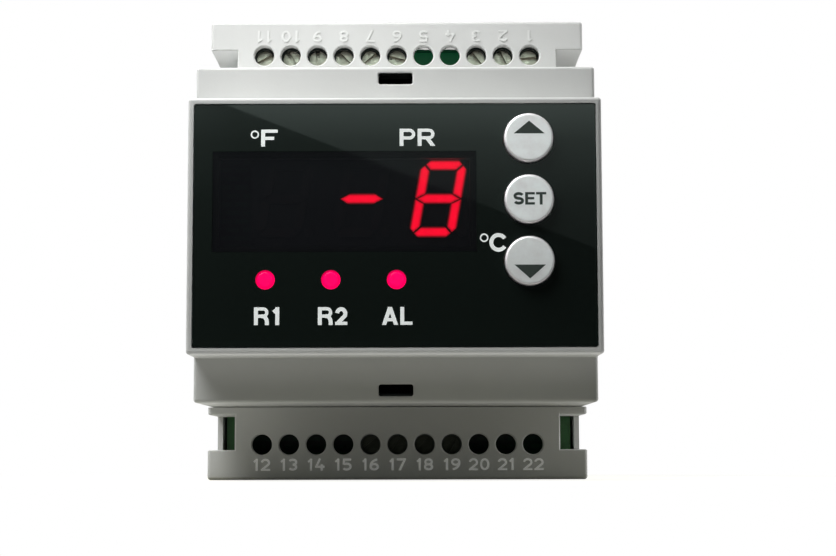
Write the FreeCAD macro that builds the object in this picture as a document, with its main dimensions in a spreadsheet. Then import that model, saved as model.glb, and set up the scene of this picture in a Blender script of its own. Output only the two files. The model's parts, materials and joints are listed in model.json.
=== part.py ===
import FreeCAD, Part
import math
import os
import re
import Sketcher

# A four-module DIN-rail thermostat, made of its separate pieces.
# Every piece is drawn lying on its back: x to the right, y up the wall, z towards the user, and z = 0
# where the rail bears. The placement UPRIGHT stands it up, so that the front faces -Y and +Z is up.

# Driving dimensions in millimetres
DIMENSIONS = {
    # Case: the side profile steps forward from the terminals to the shoulders and the front
    "case_width": 70.0,
    "case_height": 86.0,
    "terminal_step": 13.5,
    "front_height": 43.6,
    "front_reach": 56.0,
    "shoulder_reach": 46.0,
    "terminal_reach": 26.0,
    "tray_reach": 10.5,
    "cover_wall": 1.6,
    "tray_wall": 1.0,
    "tray_floor": 2.2,
    "edge_round": 0.4,
    "case_round": 0.6,
    "rim_chamfer": 0.2,
    "cover_gap": 0.15,
    # Catches that hold the cover on the tray
    "catch_y": 16.0,
    "catch_width": 8.0,
    "catch_thickness": 1.4,
    "catch_reach": 17.0,
    "catch_window_width": 5.6,
    "catch_window_low": 13.2,
    "catch_window_height": 2.6,
    "catch_nose": 1.2,
    "catch_play": 0.3,
    # Rail seat, hook and feet
    "rail_width": 35.0,
    "rail_play": 0.2,
    "rail_sheet_room": 1.3,
    "hook_overlap": 1.4,
    "hook_wall": 1.8,
    "foot_depth": 5.0,
    "foot_wall": 1.8,
    "seat_width": 31.6,
    "seat_relief": 0.3,
    # Rail clip
    "clip_width": 20.0,
    "clip_thickness": 3.2,
    "clip_play": 0.25,
    "clip_head": 4.6,
    "clip_travel": 3.0,
    "clip_spare": 0.4,
    "clip_tail_inset": 0.4,
    "clip_ledge": 2.0,
    "clip_window": 9.0,
    "lever_slot_width": 4.5,
    "lever_slot_height": 1.6,
    "lever_slot_inset": 2.4,
    "spring_length": 10.5,
    "spring_width": 7.0,
    "spring_height": 2.0,
    "spring_sheet": 0.5,
    "peg_width": 5.0,
    "peg_thickness": 1.6,
    "peg_inset": 4.8,
    # Front: label, window, keys and lamps
    "label_border_x": 1.1,
    "label_border_y": 1.2,
    "label_thickness": 0.8,
    "label_inset": 0.2,
    "label_corner": 0.3,
    "window_inset": 4.28,
    "window_key_room": 8.92,
    "window_top_inset": 9.3,
    "window_lamp_room": 4.75,
    "window_ledge": 1.0,
    "key_inset": 12.4,
    "key_top_inset": 7.1,
    "key_low_inset": 15.6,
    "key_gap": 0.45,
    "key_lip": 0.85,
    "key_proud": 1.2,
    "key_round": 0.45,
    "key_flange_height": 1.0,
    "key_foot": 4.1,
    "lamp_diameter": 2.85,
    "lamp_flange": 3.9,
    "lamp_flange_height": 1.0,
    "lamp_height": 5.3,
    "lamp_inset": 13.2,
    "lamp_pitch": 11.03,
    "lamp_low_inset": 12.55,
    "lamp_lead": 0.5,
    "lamp_lead_offset": 1.27,
    "lamp_lead_proud": 1.6,
    "hole_play": 0.2,
    # Slots in the shoulders
    "slot_width": 6.0,
    "slot_height": 2.05,
    "slot_inset": 2.1,
    "slot_corner": 0.4,
    "slot_depth": 2.6,
    # Terminals
    "terminal_inset": 6.5,
    "hole_partition": 1.25,
    "notch_width": 5.0,
    "notch_inset": 1.5,
    "notch_height": 6.5,
    "wire_partition": 1.6,
    "wire_height": 3.6,
    "block_height": 15.4,
    "block_depth": 9.0,
    "block_wall": 1.3,
    "chamber_partition": 1.0,
    "chamber_height": 11.6,
    "head_partition": 1.7,
    "screw_head_height": 1.7,
    "shank_partition": 2.5,
    "screw_slot": 0.8,
    "screw_slot_depth": 1.0,
    "screw_float": 0.05,
    "well_depth": 2.5,
    "well_play": 0.1,
    "cage_play": 0.15,
    "cage_depth": 4.2,
    "cage_height": 7.0,
    "cage_lift": 2.4,
    "cage_side": 0.5,
    "cage_top": 1.2,
    "cage_bottom": 0.6,
    "thread_play": 0.05,
    "bar_play": 0.35,
    "bar_thickness": 0.8,
    "bar_level": 7.4,
    "bar_length": 6.2,
    "pin_reach": 2.0,
    "pin_width": 1.0,
    "pin_thickness": 0.7,
    # Boards and what stands on them
    "board_thickness": 1.6,
    "board_play": 0.5,
    "board_seat": 6.4,
    "board_post": 6.0,
    "board_pin": 2.0,
    "board_pin_play": 0.1,
    "board_pin_proud": 1.6,
    "board_pin_inset": 5.0,
    "board_pin_y": 24.0,
    "front_pin_inset_x": 4.8,
    "front_pin_inset_y": 5.2,
    "front_post": 4.4,
    "link_width": 36.0,
    "link_inset": 4.8,
    "display_width": 37.6,
    "display_height": 18.0,
    "display_depth": 8.0,
    "display_back_off": 0.4,
    "digit_offset": 2.82,
    "digit_y": 4.86,
    "digit_pitch": 13.05,
    "digit_width": 7.75,
    "digit_height": 13.0,
    "digit_slant": 10.0,
    "digit_chamfer": 1.4,
    "segment_width": 1.52,
    "segment_gap": 0.2,
    "segment_height": 0.2,
    "point_diameter": 1.5,
    "switch_side": 6.0,
    "switch_height": 3.5,
    "switch_bore_depth": 2.5,
    "plunger_diameter": 3.4,
    "plunger_length": 4.2,
    "plunger_inside": 1.7,
    "plunger_play": 0.08,
    "chip_side": 10.0,
    "chip_height": 1.4,
    "chip_x": -10.0,
    "chip_y": 0.0,
    "relay_length": 19.0,
    "relay_depth": 15.5,
    "relay_height": 15.8,
    "relay_inset": 3.5,
    "relay_1_y": 4.0,
    "relay_2_y": -14.0,
    "relay_round": 0.8,
    "transformer_inset": 4.0,
    "transformer_gap": 1.0,
    "transformer_depth": 28.0,
    "transformer_height": 25.0,
    "transformer_y": -6.0,
    "transformer_chamfer": 1.5,
    "capacitor_diameter": 10.0,
    "capacitor_height": 18.0,
    "capacitor_gap": 0.5,
    "capacitor_y": -12.0,
    "capacitor_round": 1.0,
}

# Terminals that are fitted, with the angle at which each screw's slot stands
TOP_SCREWS = {1: 5, 2: -65, 3: -52, 6: -15, 7: 40, 8: -45, 9: 95, 10: -60, 11: 28}
BOTTOM_SCREWS = {16: 40, 17: 58, 18: 50, 19: 62}
TERMINALS_PER_ROW = 11
TOP_MIDDLE_NUMBER = (TERMINALS_PER_ROW + 1) // 2
BOTTOM_MIDDLE_NUMBER = TERMINALS_PER_ROW + TOP_MIDDLE_NUMBER
KEYS = {"up": 1, "set": 0, "down": -1}
LAMPS = ("relay_1_light", "relay_2_light", "alarm_light")
SPRING_FOLDS = 6
SAME_PLACE = 0.0001

# Sizes and places that follow from the driving dimensions, each from those before it
DERIVED = {
    "shoulder_height": "case_height - 2 * terminal_step",
    "label_width": "case_width - 2 * label_border_x",
    "label_height": "front_height - 2 * label_border_y",
    "key_x": "case_width / 2 - key_inset",
    "key_middle_y": "(key_low_inset - key_top_inset) / 2",
    "key_pitch": "(front_height - key_top_inset - key_low_inset) / 2",
    "key_flange": "key_pitch - key_gap",
    "key_diameter": "key_flange - 2 * key_lip",
    "lamp_y": "lamp_low_inset - front_height / 2",
    "window_width": "key_x - window_key_room - window_inset + case_width / 2",
    "window_x": "key_x - window_key_room - window_width / 2",
    "window_height": "front_height / 2 - window_top_inset - lamp_y - window_lamp_room",
    "window_y": "front_height / 2 - window_top_inset - window_height / 2",
    "lamp_first_x": "lamp_inset - case_width / 2",
    "slot_y": "shoulder_height / 2 - slot_inset",
    "terminal_pitch": f"case_width / ({TERMINALS_PER_ROW} + 3)",
    "terminal_y": "case_height / 2 - terminal_inset",
    "terminal_hole": "terminal_pitch - hole_partition",
    "notch_low": "shoulder_height / 2 + notch_inset",
    "notch_high": "notch_low + notch_height",
    "wire_width": "terminal_pitch - wire_partition",
    "chamber_width": "terminal_pitch - chamber_partition",
    "screw_head": "terminal_pitch - head_partition",
    "screw_shank": "terminal_pitch - shank_partition",
    "cage_width": "chamber_width - 2 * cage_play",
    "bar_width": "cage_width - 2 * (cage_side + bar_play)",
    "board_pin_x": "case_width / 2 - board_pin_inset",
    "front_pin_x": "case_width / 2 - front_pin_inset_x",
    "front_pin_y": "front_height / 2 - front_pin_inset_y",
    "link_y": "front_height / 2 - link_inset",
    "digit_x": "window_x + digit_offset",
    "relay_x": "relay_inset + relay_length / 2 - case_width / 2",
    "capacitor_x": "relay_x + relay_length / 2 + capacitor_gap + capacitor_diameter / 2",
    "transformer_low": "capacitor_x + capacitor_diameter / 2 + transformer_gap",
    "transformer_high": "case_width / 2 - transformer_inset",
    "transformer_length": "transformer_high - transformer_low",
    "transformer_x": "transformer_low + transformer_length / 2",
}
UPRIGHT = FreeCAD.Placement(FreeCAD.Vector(), FreeCAD.Rotation(FreeCAD.Vector(1, 0, 0), 90))

doc = FreeCAD.newDocument("thermostat")
sheet = doc.addObject("Spreadsheet::Sheet", "dim")
driving = [(alias, str(size)) for alias, size in DIMENSIONS.items()]
derived = [(alias, f"={text}") for alias, text in DERIVED.items()]
for row, (alias, content) in enumerate(driving + derived, start=1):
    sheet.set(f"A{row}", alias.replace("_", " "))
    sheet.set(f"B{row}", content)
    sheet.setAlias(f"B{row}", alias)
    doc.recompute()

# Levels that several pieces share, as formulas of the driving dimensions
RECESS_FLOOR = "front_reach - label_inset - label_thickness"
LABEL_FACE = "front_reach - label_inset"
PLATE_BACK = f"({RECESS_FLOOR} - cover_wall)"
DISPLAY_FACE = f"({PLATE_BACK} - display_back_off)"
FRONT_BOARD_FACE = f"({DISPLAY_FACE} - display_depth)"
FRONT_BOARD_BACK = f"({FRONT_BOARD_FACE} - board_thickness)"
BOARD_FACE = "(board_seat + board_thickness)"
BLOCK_TOP = f"({BOARD_FACE} + block_height)"
WELL_FLOOR = f"({BLOCK_TOP} - well_depth)"
BAR_TOP = f"({BOARD_FACE} + bar_level)"
SWITCH_TOP = f"({FRONT_BOARD_FACE} + switch_height)"
PLUNGER_TOP = f"({SWITCH_TOP} - plunger_inside + plunger_length)"
HOOK_WALL = "(rail_width / 2 + rail_play)"
HOOK_NOSE = f"({HOOK_WALL} - hook_overlap)"
CLIP_BACK = f"({HOOK_WALL} + clip_head - hook_overlap)"
FOOT_START = f"({CLIP_BACK} + clip_spare)"
LEDGE_START = f"({CLIP_BACK} + clip_travel + clip_spare)"
CATCH_FACE = "(case_width / 2 - cover_wall - cover_gap)"
CATCH_BACK = f"({CATCH_FACE} - catch_thickness)"
CLIP_FLOOR = "(clip_play + clip_thickness)"
PEG_LOW = "(case_height / 2 - peg_inset)"
PEG_HIGH = f"({PEG_LOW} - peg_thickness)"
SPRING_HIGH = f"({PEG_HIGH} - spring_length)"


def formula(text):
    """The text with every dimension's name turned into a reference to its cell."""
    known = {**DIMENSIONS, **DERIVED}
    return re.sub(r"[a-z_][a-z_0-9]*", lambda m: f"dim.{m[0]}" if m[0] in known else m[0], text)


def value(text):
    """What a formula comes to now, as a number."""
    found = sheet.evalExpression(formula(text))
    return float(getattr(found, "Value", found))


def new_body(label):
    body = doc.addObject("PartDesign::Body", label)
    body.Label = label
    body.Placement = UPRIGHT
    return body


def rect(x, y, width, height):
    """Corners of a rectangle about the point x, y."""
    signs = ((-1, -1), (1, -1), (1, 1), (-1, 1))
    return [(f"({x}) + ({i}) * ({width}) / 2", f"({y}) + ({j}) * ({height}) / 2") for i, j in signs]


def span(x_low, y_low, x_high, y_high):
    """Corners of a rectangle between two opposite corners."""
    return [(x_low, y_low), (x_high, y_low), (x_high, y_high), (x_low, y_high)]


def circle(x, y, diameter):
    return {"x": x, "y": y, "diameter": diameter}


def rounded(x, y, width, height, radius):
    return {"x": x, "y": y, "width": width, "height": height, "radius": radius}


def bind(sketch, kind, element, point, text):
    """Holds one coordinate of a sketch point, or one radius, at a formula."""
    if kind == "Radius":
        constraint = Sketcher.Constraint(kind, element, value(text))
    else:
        constraint = Sketcher.Constraint(kind, -1, 1, element, point, value(text))
    index = sketch.addConstraint(constraint)
    sketch.setExpression(f"Constraints[{index}]", formula(text))


def add_polygon(sketch, corners):
    first = sketch.GeometryCount
    points = [FreeCAD.Vector(value(x), value(y), 0) for x, y in corners]
    count = len(points)
    for i in range(count):
        sketch.addGeometry(Part.LineSegment(points[i], points[(i + 1) % count]))
    for i in range(count):
        sketch.addConstraint(Sketcher.Constraint("Coincident", first + i, 2, first + (i + 1) % count, 1))
    for i, (x, y) in enumerate(corners):
        bind(sketch, "DistanceX", first + i, 1, x)
        bind(sketch, "DistanceY", first + i, 1, y)


def add_circle(sketch, spec):
    centre = FreeCAD.Vector(value(spec["x"]), value(spec["y"]), 0)
    radius = f"({spec['diameter']}) / 2"
    index = sketch.addGeometry(Part.Circle(centre, FreeCAD.Vector(0, 0, 1), value(radius)))
    bind(sketch, "DistanceX", index, 3, spec["x"])
    bind(sketch, "DistanceY", index, 3, spec["y"])
    bind(sketch, "Radius", index, 0, radius)


def add_rounded(sketch, spec):
    """A rectangle with four tangent corner arcs, running anticlockwise from the lower right corner."""
    radius = value(spec["radius"])
    reach_x = f"(({spec['width']}) / 2 - ({spec['radius']}))"
    reach_y = f"(({spec['height']}) / 2 - ({spec['radius']}))"
    signs = ((1, -1), (1, 1), (-1, 1), (-1, -1))
    x = spec["x"]
    y = spec["y"]
    centres = [(f"({x}) + ({i}) * {reach_x}", f"({y}) + ({j}) * {reach_y}") for i, j in signs]
    arcs = []
    ends = []
    for turn, (centre_x, centre_y) in enumerate(centres):
        start = (turn - 1) * math.pi / 2
        centre = FreeCAD.Vector(value(centre_x), value(centre_y), 0)
        round_corner = Part.Circle(centre, FreeCAD.Vector(0, 0, 1), radius)
        arc = Part.ArcOfCircle(round_corner, start, start + math.pi / 2)
        arcs.append(sketch.addGeometry(arc))
        ends.append((arc.StartPoint, arc.EndPoint))
    for i, arc in enumerate(arcs):
        following = (i + 1) % len(arcs)
        line = sketch.addGeometry(Part.LineSegment(ends[i][1], ends[following][0]))
        sketch.addConstraint(Sketcher.Constraint("Tangent", arc, 2, line, 1))
        sketch.addConstraint(Sketcher.Constraint("Tangent", line, 2, arcs[following], 1))
    for arc, (centre_x, centre_y) in zip(arcs, centres):
        bind(sketch, "DistanceX", arc, 3, centre_x)
        bind(sketch, "DistanceY", arc, 3, centre_y)
        bind(sketch, "Radius", arc, 0, spec["radius"])


def draw(body, name, outlines, level="0", plane="XY_Plane", turn=0, place=("0", "0")):
    """A sketch of closed outlines at a level over one of the body's own planes."""
    sketch = body.newObject("Sketcher::SketchObject", name)
    planes = {feature.Role: feature for feature in body.Origin.OriginFeatures}
    sketch.AttachmentSupport = [(planes[plane], "")]
    sketch.MapMode = "FlatFace"
    about = FreeCAD.Rotation(FreeCAD.Vector(0, 0, 1), turn)
    sketch.AttachmentOffset = FreeCAD.Placement(FreeCAD.Vector(), about)
    sketch.setExpression("AttachmentOffset.Base.x", formula(place[0]))
    sketch.setExpression("AttachmentOffset.Base.y", formula(place[1]))
    sketch.setExpression("AttachmentOffset.Base.z", formula(level))
    for outline in outlines:
        if isinstance(outline, list):
            add_polygon(sketch, outline)
        elif "diameter" in outline:
            add_circle(sketch, outline)
        else:
            add_rounded(sketch, outline)
    return sketch


def extrude(body, kind, sketch, length, symmetric=False):
    feature = body.newObject(f"PartDesign::{kind}", f"{sketch.Name}_{kind.lower()}")
    feature.Profile = sketch
    feature.setExpression("Length", formula(length))
    feature.Midplane = symmetric
    return feature


def pad(body, name, outlines, level, height, **how):
    """Material that rises from a level towards the user."""
    return extrude(body, "Pad", draw(body, name, outlines, level, **how), height)


def cut(body, name, outlines, level, depth, **how):
    """A hole that goes down from a level towards the wall."""
    return extrude(body, "Pocket", draw(body, name, outlines, level, **how), depth)


def pad_across(body, name, profile, width):
    """A side profile carried across the width of the case."""
    return extrude(body, "Pad", draw(body, name, [profile], plane="YZ_Plane"), width, symmetric=True)


def cut_across(body, name, profile, width):
    return extrude(body, "Pocket", draw(body, name, [profile], plane="YZ_Plane"), width, symmetric=True)


def dress(body, kind, size, chosen, base):
    """Rounds or chamfers the chosen edges of a feature."""
    doc.recompute()
    names = [f"Edge{i}" for i, edge in enumerate(base.Shape.Edges, start=1) if chosen(edge)]
    feature = body.newObject(f"PartDesign::{kind}", f"{base.Name}_{kind.lower()}")
    feature.Base = (base, names)
    feature.setExpression("Radius" if kind == "Fillet" else "Size", formula(size))
    return feature


def lies_at(edge, axis, text):
    """Whether a whole edge lies at one height along an axis."""
    box = edge.BoundBox
    low, high = {"x": (box.XMin, box.XMax), "y": (box.YMin, box.YMax), "z": (box.ZMin, box.ZMax)}[axis]
    place = value(text)
    return abs(low - place) < SAME_PLACE and abs(high - place) < SAME_PLACE


def front_edges(level):
    return lambda edge: lies_at(edge, "z", level)


def round_rims(level):
    return lambda edge: lies_at(edge, "z", level) and isinstance(edge.Curve, Part.Circle)


# Case


def rear_housing():
    """The tray: floor, walls, rail hook, ribbed feet, clip guide, board posts."""
    body = new_body("rear_housing")
    pad(body, "tray_block", [rect("0", "0", "case_width", "case_height")], "0", "tray_reach")
    inner = rect("0", "0", "case_width - 2 * tray_wall", "case_height - 2 * tray_wall")
    cut(body, "tray_room", [inner], "tray_reach", "tray_reach - tray_floor")
    half_width = "case_width / 2"
    end = "case_height / 2"
    upper_foot = span(f"-{half_width}", HOOK_WALL, half_width, end)
    lower_foot = span(f"-{half_width}", f"-{end}", half_width, f"-{FOOT_START}")
    feet = pad(body, "feet", [upper_foot, lower_foot], "-foot_depth", "foot_depth")

    def tray_corner(edge):
        at_side = any(lies_at(edge, "x", f"{i} * {half_width}") for i in (-1, 1))
        return at_side and any(lies_at(edge, "y", f"{j} * {end}") for j in (-1, 1))

    dress(body, "Fillet", "case_round", tray_corner, feet)
    hook_profile = [
        (HOOK_WALL, "-foot_depth"),
        (HOOK_WALL, "-rail_sheet_room"),
        (HOOK_NOSE, "-rail_sheet_room"),
        (HOOK_NOSE, "-foot_depth + hook_overlap"),
        (f"{HOOK_NOSE} + hook_overlap / 2", "-foot_depth"),
    ]
    pad_across(body, "hook", hook_profile, "case_width")
    relief_top = span(f"-{half_width}", "seat_width / 2", half_width, HOOK_WALL)
    relief_low = span(f"-{half_width}", f"-{FOOT_START}", half_width, "-seat_width / 2")
    cut(body, "seat_reliefs", [relief_top, relief_low], "seat_relief", "seat_relief")
    guide = "clip_width / 2 + clip_play"
    opening = f"{guide} - clip_ledge"
    side_x = f"{guide} + tray_wall"
    low_room = f"{FOOT_START} + tray_wall"
    room_end = f"{end} - tray_wall"
    inside = f"{half_width} - tray_wall"
    upper_low = f"{HOOK_WALL} + hook_wall"
    foot_rooms = [
        span(f"-({inside})", f"-({room_end})", f"-({side_x})", f"-({low_room})"),
        span(side_x, f"-({room_end})", inside, f"-({low_room})"),
        span(f"-({inside})", upper_low, f"-({side_x})", room_end),
        span(f"-({guide})", upper_low, guide, room_end),
        span(side_x, upper_low, inside, room_end),
    ]
    cut(body, "foot_rooms", foot_rooms, "tray_floor", "tray_floor + foot_depth - foot_wall")
    channel = span(f"-({guide})", f"-{end}", guide, f"-{FOOT_START}")
    cut(body, "clip_channel", [channel], "0", f"{CLIP_FLOOR} + clip_play")
    mouth = span(f"-({opening})", f"-{end}", opening, f"-{LEDGE_START}")
    head_room = span(f"-({guide})", f"-{LEDGE_START}", guide, f"-{FOOT_START}")
    cut(body, "clip_mouth", [mouth], "0", "foot_depth")
    cut(body, "clip_head_room", [head_room], "0", "foot_depth")
    peg = span("-peg_width / 2", f"-{PEG_LOW}", "peg_width / 2", f"-{PEG_HIGH}")
    pad(body, "spring_peg", [peg], f"-{CLIP_FLOOR}", CLIP_FLOOR)
    corners = [(i, j) for i in (-1, 1) for j in (-1, 1)]
    posts = [circle(f"{i} * board_pin_x", f"{j} * board_pin_y", "board_post") for i, j in corners]
    post_root = "(foot_wall - foot_depth)"
    pad(body, "board_posts", posts, post_root, f"board_seat - {post_root}")
    pins = [circle(f"{i} * board_pin_x", f"{j} * board_pin_y", "board_pin") for i, j in corners]
    pad(body, "board_pins", pins, "board_seat", "board_thickness + board_pin_proud")
    wall = f"({inside})"
    roots = [catch_outline(i, j, CATCH_BACK, wall, "catch_width") for i, j in corners]
    pad(body, "catch_roots", roots, "tray_floor", "tray_reach - tray_floor")
    tongues = [catch_outline(i, j, CATCH_BACK, CATCH_FACE, "catch_width") for i, j in corners]
    pad(body, "catch_tongues", tongues, "tray_reach", "catch_reach - tray_reach")
    nose_tip = f"({CATCH_FACE} + catch_nose)"
    nose_width = "catch_window_width - 2 * catch_play"
    noses = [catch_outline(i, j, CATCH_FACE, nose_tip, nose_width) for i, j in corners]
    nose_low = "catch_window_low + catch_play"
    nose_high = "catch_window_low + catch_window_height - catch_play"
    nose = pad(body, "catch_noses", noses, nose_low, f"{nose_high} - ({nose_low})")

    def leading_edge(edge):
        at_tip = any(lies_at(edge, "x", f"{i} * {nose_tip}") for i in (-1, 1))
        return at_tip and lies_at(edge, "z", nose_high)

    dress(body, "Chamfer", "catch_nose - catch_play", leading_edge, nose)


def catch_outline(side, end, x_low, x_high, width):
    """Outline of one of the four catches, between two distances from the middle of the case."""
    y = f"{end} * catch_y"
    return span(f"{side} * {x_low}", f"{y} - ({width}) / 2", f"{side} * {x_high}", f"{y} + ({width}) / 2")


def front_cover():
    """The deep stepped cover, open at the back, with the label recess in its front."""
    body = new_body("front_cover")
    shoulder = "shoulder_height / 2"
    front = "front_height / 2"
    outer = [
        (f"-{shoulder}", "tray_reach"),
        (shoulder, "tray_reach"),
        (shoulder, "shoulder_reach"),
        (front, "shoulder_reach"),
        (front, "front_reach"),
        (f"-{front}", "front_reach"),
        (f"-{front}", "shoulder_reach"),
        (f"-{shoulder}", "shoulder_reach"),
    ]
    shape = pad_across(body, "cover_block", outer, "case_width")

    def outside_corner(edge):
        at_step = any(lies_at(edge, "y", f"{i} * {front}") for i in (-1, 1))
        inner_corner = at_step and lies_at(edge, "z", "shoulder_reach")
        return not inner_corner and not lies_at(edge, "z", "tray_reach")

    dress(body, "Fillet", "case_round", outside_corner, shape)
    inner = [
        (f"-({shoulder} - cover_wall)", "tray_reach"),
        (f"{shoulder} - cover_wall", "tray_reach"),
        (f"{shoulder} - cover_wall", "shoulder_reach - cover_wall"),
        (f"{front} - cover_wall", "shoulder_reach - cover_wall"),
        (f"{front} - cover_wall", PLATE_BACK),
        (f"-({front} - cover_wall)", PLATE_BACK),
        (f"-({front} - cover_wall)", "shoulder_reach - cover_wall"),
        (f"-({shoulder} - cover_wall)", "shoulder_reach - cover_wall"),
    ]
    cut_across(body, "cover_room", inner, "case_width - 2 * cover_wall")
    recess = rounded("0", "0", "label_width + 2 * cover_gap", "label_height + 2 * cover_gap",
                     "label_corner + cover_gap")
    cut(body, "label_recess", [recess], "front_reach", "label_inset + label_thickness")
    ledges = "2 * window_ledge"
    view = rect("window_x", "window_y", f"window_width - {ledges}", f"window_height - {ledges}")
    cut(body, "front_openings", [view] + key_holes() + lamp_holes(), RECESS_FLOOR, "cover_wall")
    windows = [
        catch_outline(i, j, "(case_width / 2 - cover_wall)", "(case_width / 2)", "catch_window_width")
        for i in (-1, 1)
        for j in (-1, 1)
    ]
    window_top = "catch_window_low + catch_window_height"
    cut(body, "catch_windows", windows, window_top, "catch_window_height")
    slots = [rounded("0", f"{j} * slot_y", "slot_width", "slot_height", "slot_corner") for j in (-1, 1)]
    slotted = cut(body, "shoulder_slots", slots, "shoulder_reach", "slot_depth")

    def slot_rim(edge):
        in_middle = abs(edge.CenterOfMass.x) < value("slot_width")
        short = edge.BoundBox.XLength < value("2 * slot_width")
        return in_middle and short and lies_at(edge, "z", "shoulder_reach")

    dress(body, "Chamfer", "rim_chamfer", slot_rim, slotted)
    corners = [(i, j) for i in (-1, 1) for j in (-1, 1)]
    posts = [circle(f"{i} * front_pin_x", f"{j} * front_pin_y", "front_post") for i, j in corners]
    pad(body, "front_posts", posts, FRONT_BOARD_FACE, f"{PLATE_BACK} - {FRONT_BOARD_FACE}")
    pins = [circle(f"{i} * front_pin_x", f"{j} * front_pin_y", "board_pin") for i, j in corners]
    pad(body, "front_pins", pins, f"{FRONT_BOARD_BACK} - board_pin_proud",
        "board_thickness + board_pin_proud")


def key_holes():
    size = "key_diameter + 2 * hole_play"
    return [circle("key_x", f"key_middle_y + {n} * key_pitch", size) for n in KEYS.values()]


def lamp_holes():
    size = "lamp_diameter + 2 * hole_play"
    return [circle(f"lamp_first_x + {n} * lamp_pitch", "lamp_y", size) for n in range(len(LAMPS))]


def front_label():
    body = new_body("front_label")
    sheet_outline = rounded("0", "0", "label_width", "label_height", "label_corner")
    pane = rect("window_x", "window_y", "window_width + cover_gap", "window_height + cover_gap")
    holes = [pane] + key_holes() + lamp_holes()
    pad(body, "label_sheet", [sheet_outline] + holes, RECESS_FLOOR, "label_thickness")


def display_window():
    body = new_body("display_window")
    pane = rect("window_x", "window_y", "window_width", "window_height")
    pad(body, "window_pane", [pane], RECESS_FLOOR, "label_thickness")


def terminal_cover(label, side):
    """The stepped-down cover of the upper (side 1) or lower (side -1) row, with lined corner notches."""
    body = new_body(label)
    near = f"{side} * (shoulder_height / 2 + cover_gap)"
    far = f"{side} * case_height / 2"
    outer = [(near, "tray_reach"), (far, "tray_reach"), (far, "terminal_reach"), (near, "terminal_reach")]
    shape = pad_across(body, f"{label}_block", outer, "case_width")

    def outside_corner(edge):
        at_joint = lies_at(edge, "y", near) or lies_at(edge, "z", "tray_reach")
        return not at_joint

    dress(body, "Fillet", "case_round", outside_corner, shape)
    inner_end = f"{side} * (case_height / 2 - cover_wall)"
    ceiling = "terminal_reach - cover_wall"
    inner = [(near, "tray_reach"), (inner_end, "tray_reach"), (inner_end, ceiling), (near, ceiling)]
    cut_across(body, f"{label}_room", inner, "case_width - 2 * cover_wall")
    lining_x = "(case_width / 2 - notch_width - cover_wall)"
    lining_end = f"{side} * (notch_high + cover_wall)"
    in_wall = "(case_width / 2 - cover_wall / 2)"
    linings = [span(f"{i} * {lining_x}", near, f"{i} * {in_wall}", lining_end) for i in (-1, 1)]
    pad(body, f"{label}_linings", linings, "tray_reach", f"{ceiling} - tray_reach")
    notches = [
        span(f"{i} * (case_width / 2 - notch_width)", f"{side} * notch_low", f"{i} * case_width / 2",
             f"{side} * notch_high")
        for i in (-1, 1)
    ]
    notched = cut(body, f"{label}_notches", notches, "terminal_reach", "terminal_reach - tray_reach")

    def notch_rim(edge):
        middle = edge.CenterOfMass
        beside = abs(middle.x) > value("case_width / 2 - notch_width") - SAME_PLACE
        level = value("notch_low") - SAME_PLACE < abs(middle.y) < value("notch_high") + SAME_PLACE
        return beside and level and lies_at(edge, "z", "terminal_reach")

    dress(body, "Chamfer", "rim_chamfer", notch_rim, notched)
    steps = range(-(TERMINALS_PER_ROW // 2), TERMINALS_PER_ROW // 2 + 1)
    holes = [circle(f"{n} * terminal_pitch", f"{side} * terminal_y", "terminal_hole") for n in steps]
    drilled = cut(body, f"{label}_holes", holes, "terminal_reach", "cover_wall")
    dress(body, "Chamfer", "rim_chamfer", round_rims("terminal_reach"), drilled)
    sketch = draw(body, f"{label}_entries", wire_entries(steps), far_level(side), plane="XZ_Plane")
    extrude(body, "Pocket", sketch, "2 * cover_wall", symmetric=True)


def wire_entries(steps):
    """Outlines of the wire entries, which lie under the contact bars, in the plane of the end wall."""
    middle = f"{BAR_TOP} - bar_thickness - wire_height / 2"
    return [rect(f"{n} * terminal_pitch", middle, "wire_width", "wire_height") for n in steps]


def far_level(side):
    """The end wall's outer face, as an offset along the XZ plane's normal, which points down the wall."""
    return f"{-side} * case_height / 2"


# Boards and what they carry


def main_board():
    """The board fills the tray, with a bay in each side edge for the catches."""
    body = new_body("main_board")
    edge_x = "(case_width / 2 - tray_wall - board_play)"
    edge_y = "(case_height / 2 - tray_wall - board_play)"
    bay_x = f"({CATCH_BACK} - board_play)"
    bay_low = "(catch_y - catch_width / 2 - board_play)"
    bay_high = "(catch_y + catch_width / 2 + board_play)"
    quarter = [
        (bay_x, bay_low),
        (bay_x, bay_high),
        (edge_x, bay_high),
        (edge_x, edge_y),
    ]
    right_top = [(edge_x, bay_low), *quarter]
    left_top = [(f"-{x}", y) for x, y in reversed(right_top)]
    left_low = [(f"-{x}", f"-{y}") for x, y in right_top]
    right_low = [(x, f"-{y}") for x, y in reversed(right_top)]
    outline = right_top + left_top + left_low + right_low
    hole = "board_pin + 2 * board_pin_play"
    corners = [(i, j) for i in (-1, 1) for j in (-1, 1)]
    holes = [circle(f"{i} * board_pin_x", f"{j} * board_pin_y", hole) for i, j in corners]
    pins = [contact_pin(x, side, "board_pin_play") for x, side in fitted_terminals()]
    pad(body, "main_sheet", [outline] + holes + pins, "board_seat", "board_thickness")


def front_board():
    body = new_body("front_board")
    rim = "2 * (cover_wall + board_play)"
    outline = rect("0", "0", f"case_width - {rim}", f"front_height - {rim}")
    hole = "board_pin + 2 * board_pin_play"
    corners = [(i, j) for i in (-1, 1) for j in (-1, 1)]
    holes = [circle(f"{i} * front_pin_x", f"{j} * front_pin_y", hole) for i, j in corners]
    leads = [lead(n, i, "board_pin_play") for n in range(len(LAMPS)) for i in (-1, 1)]
    pad(body, "front_sheet", [outline] + holes + leads, FRONT_BOARD_BACK, "board_thickness")


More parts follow.
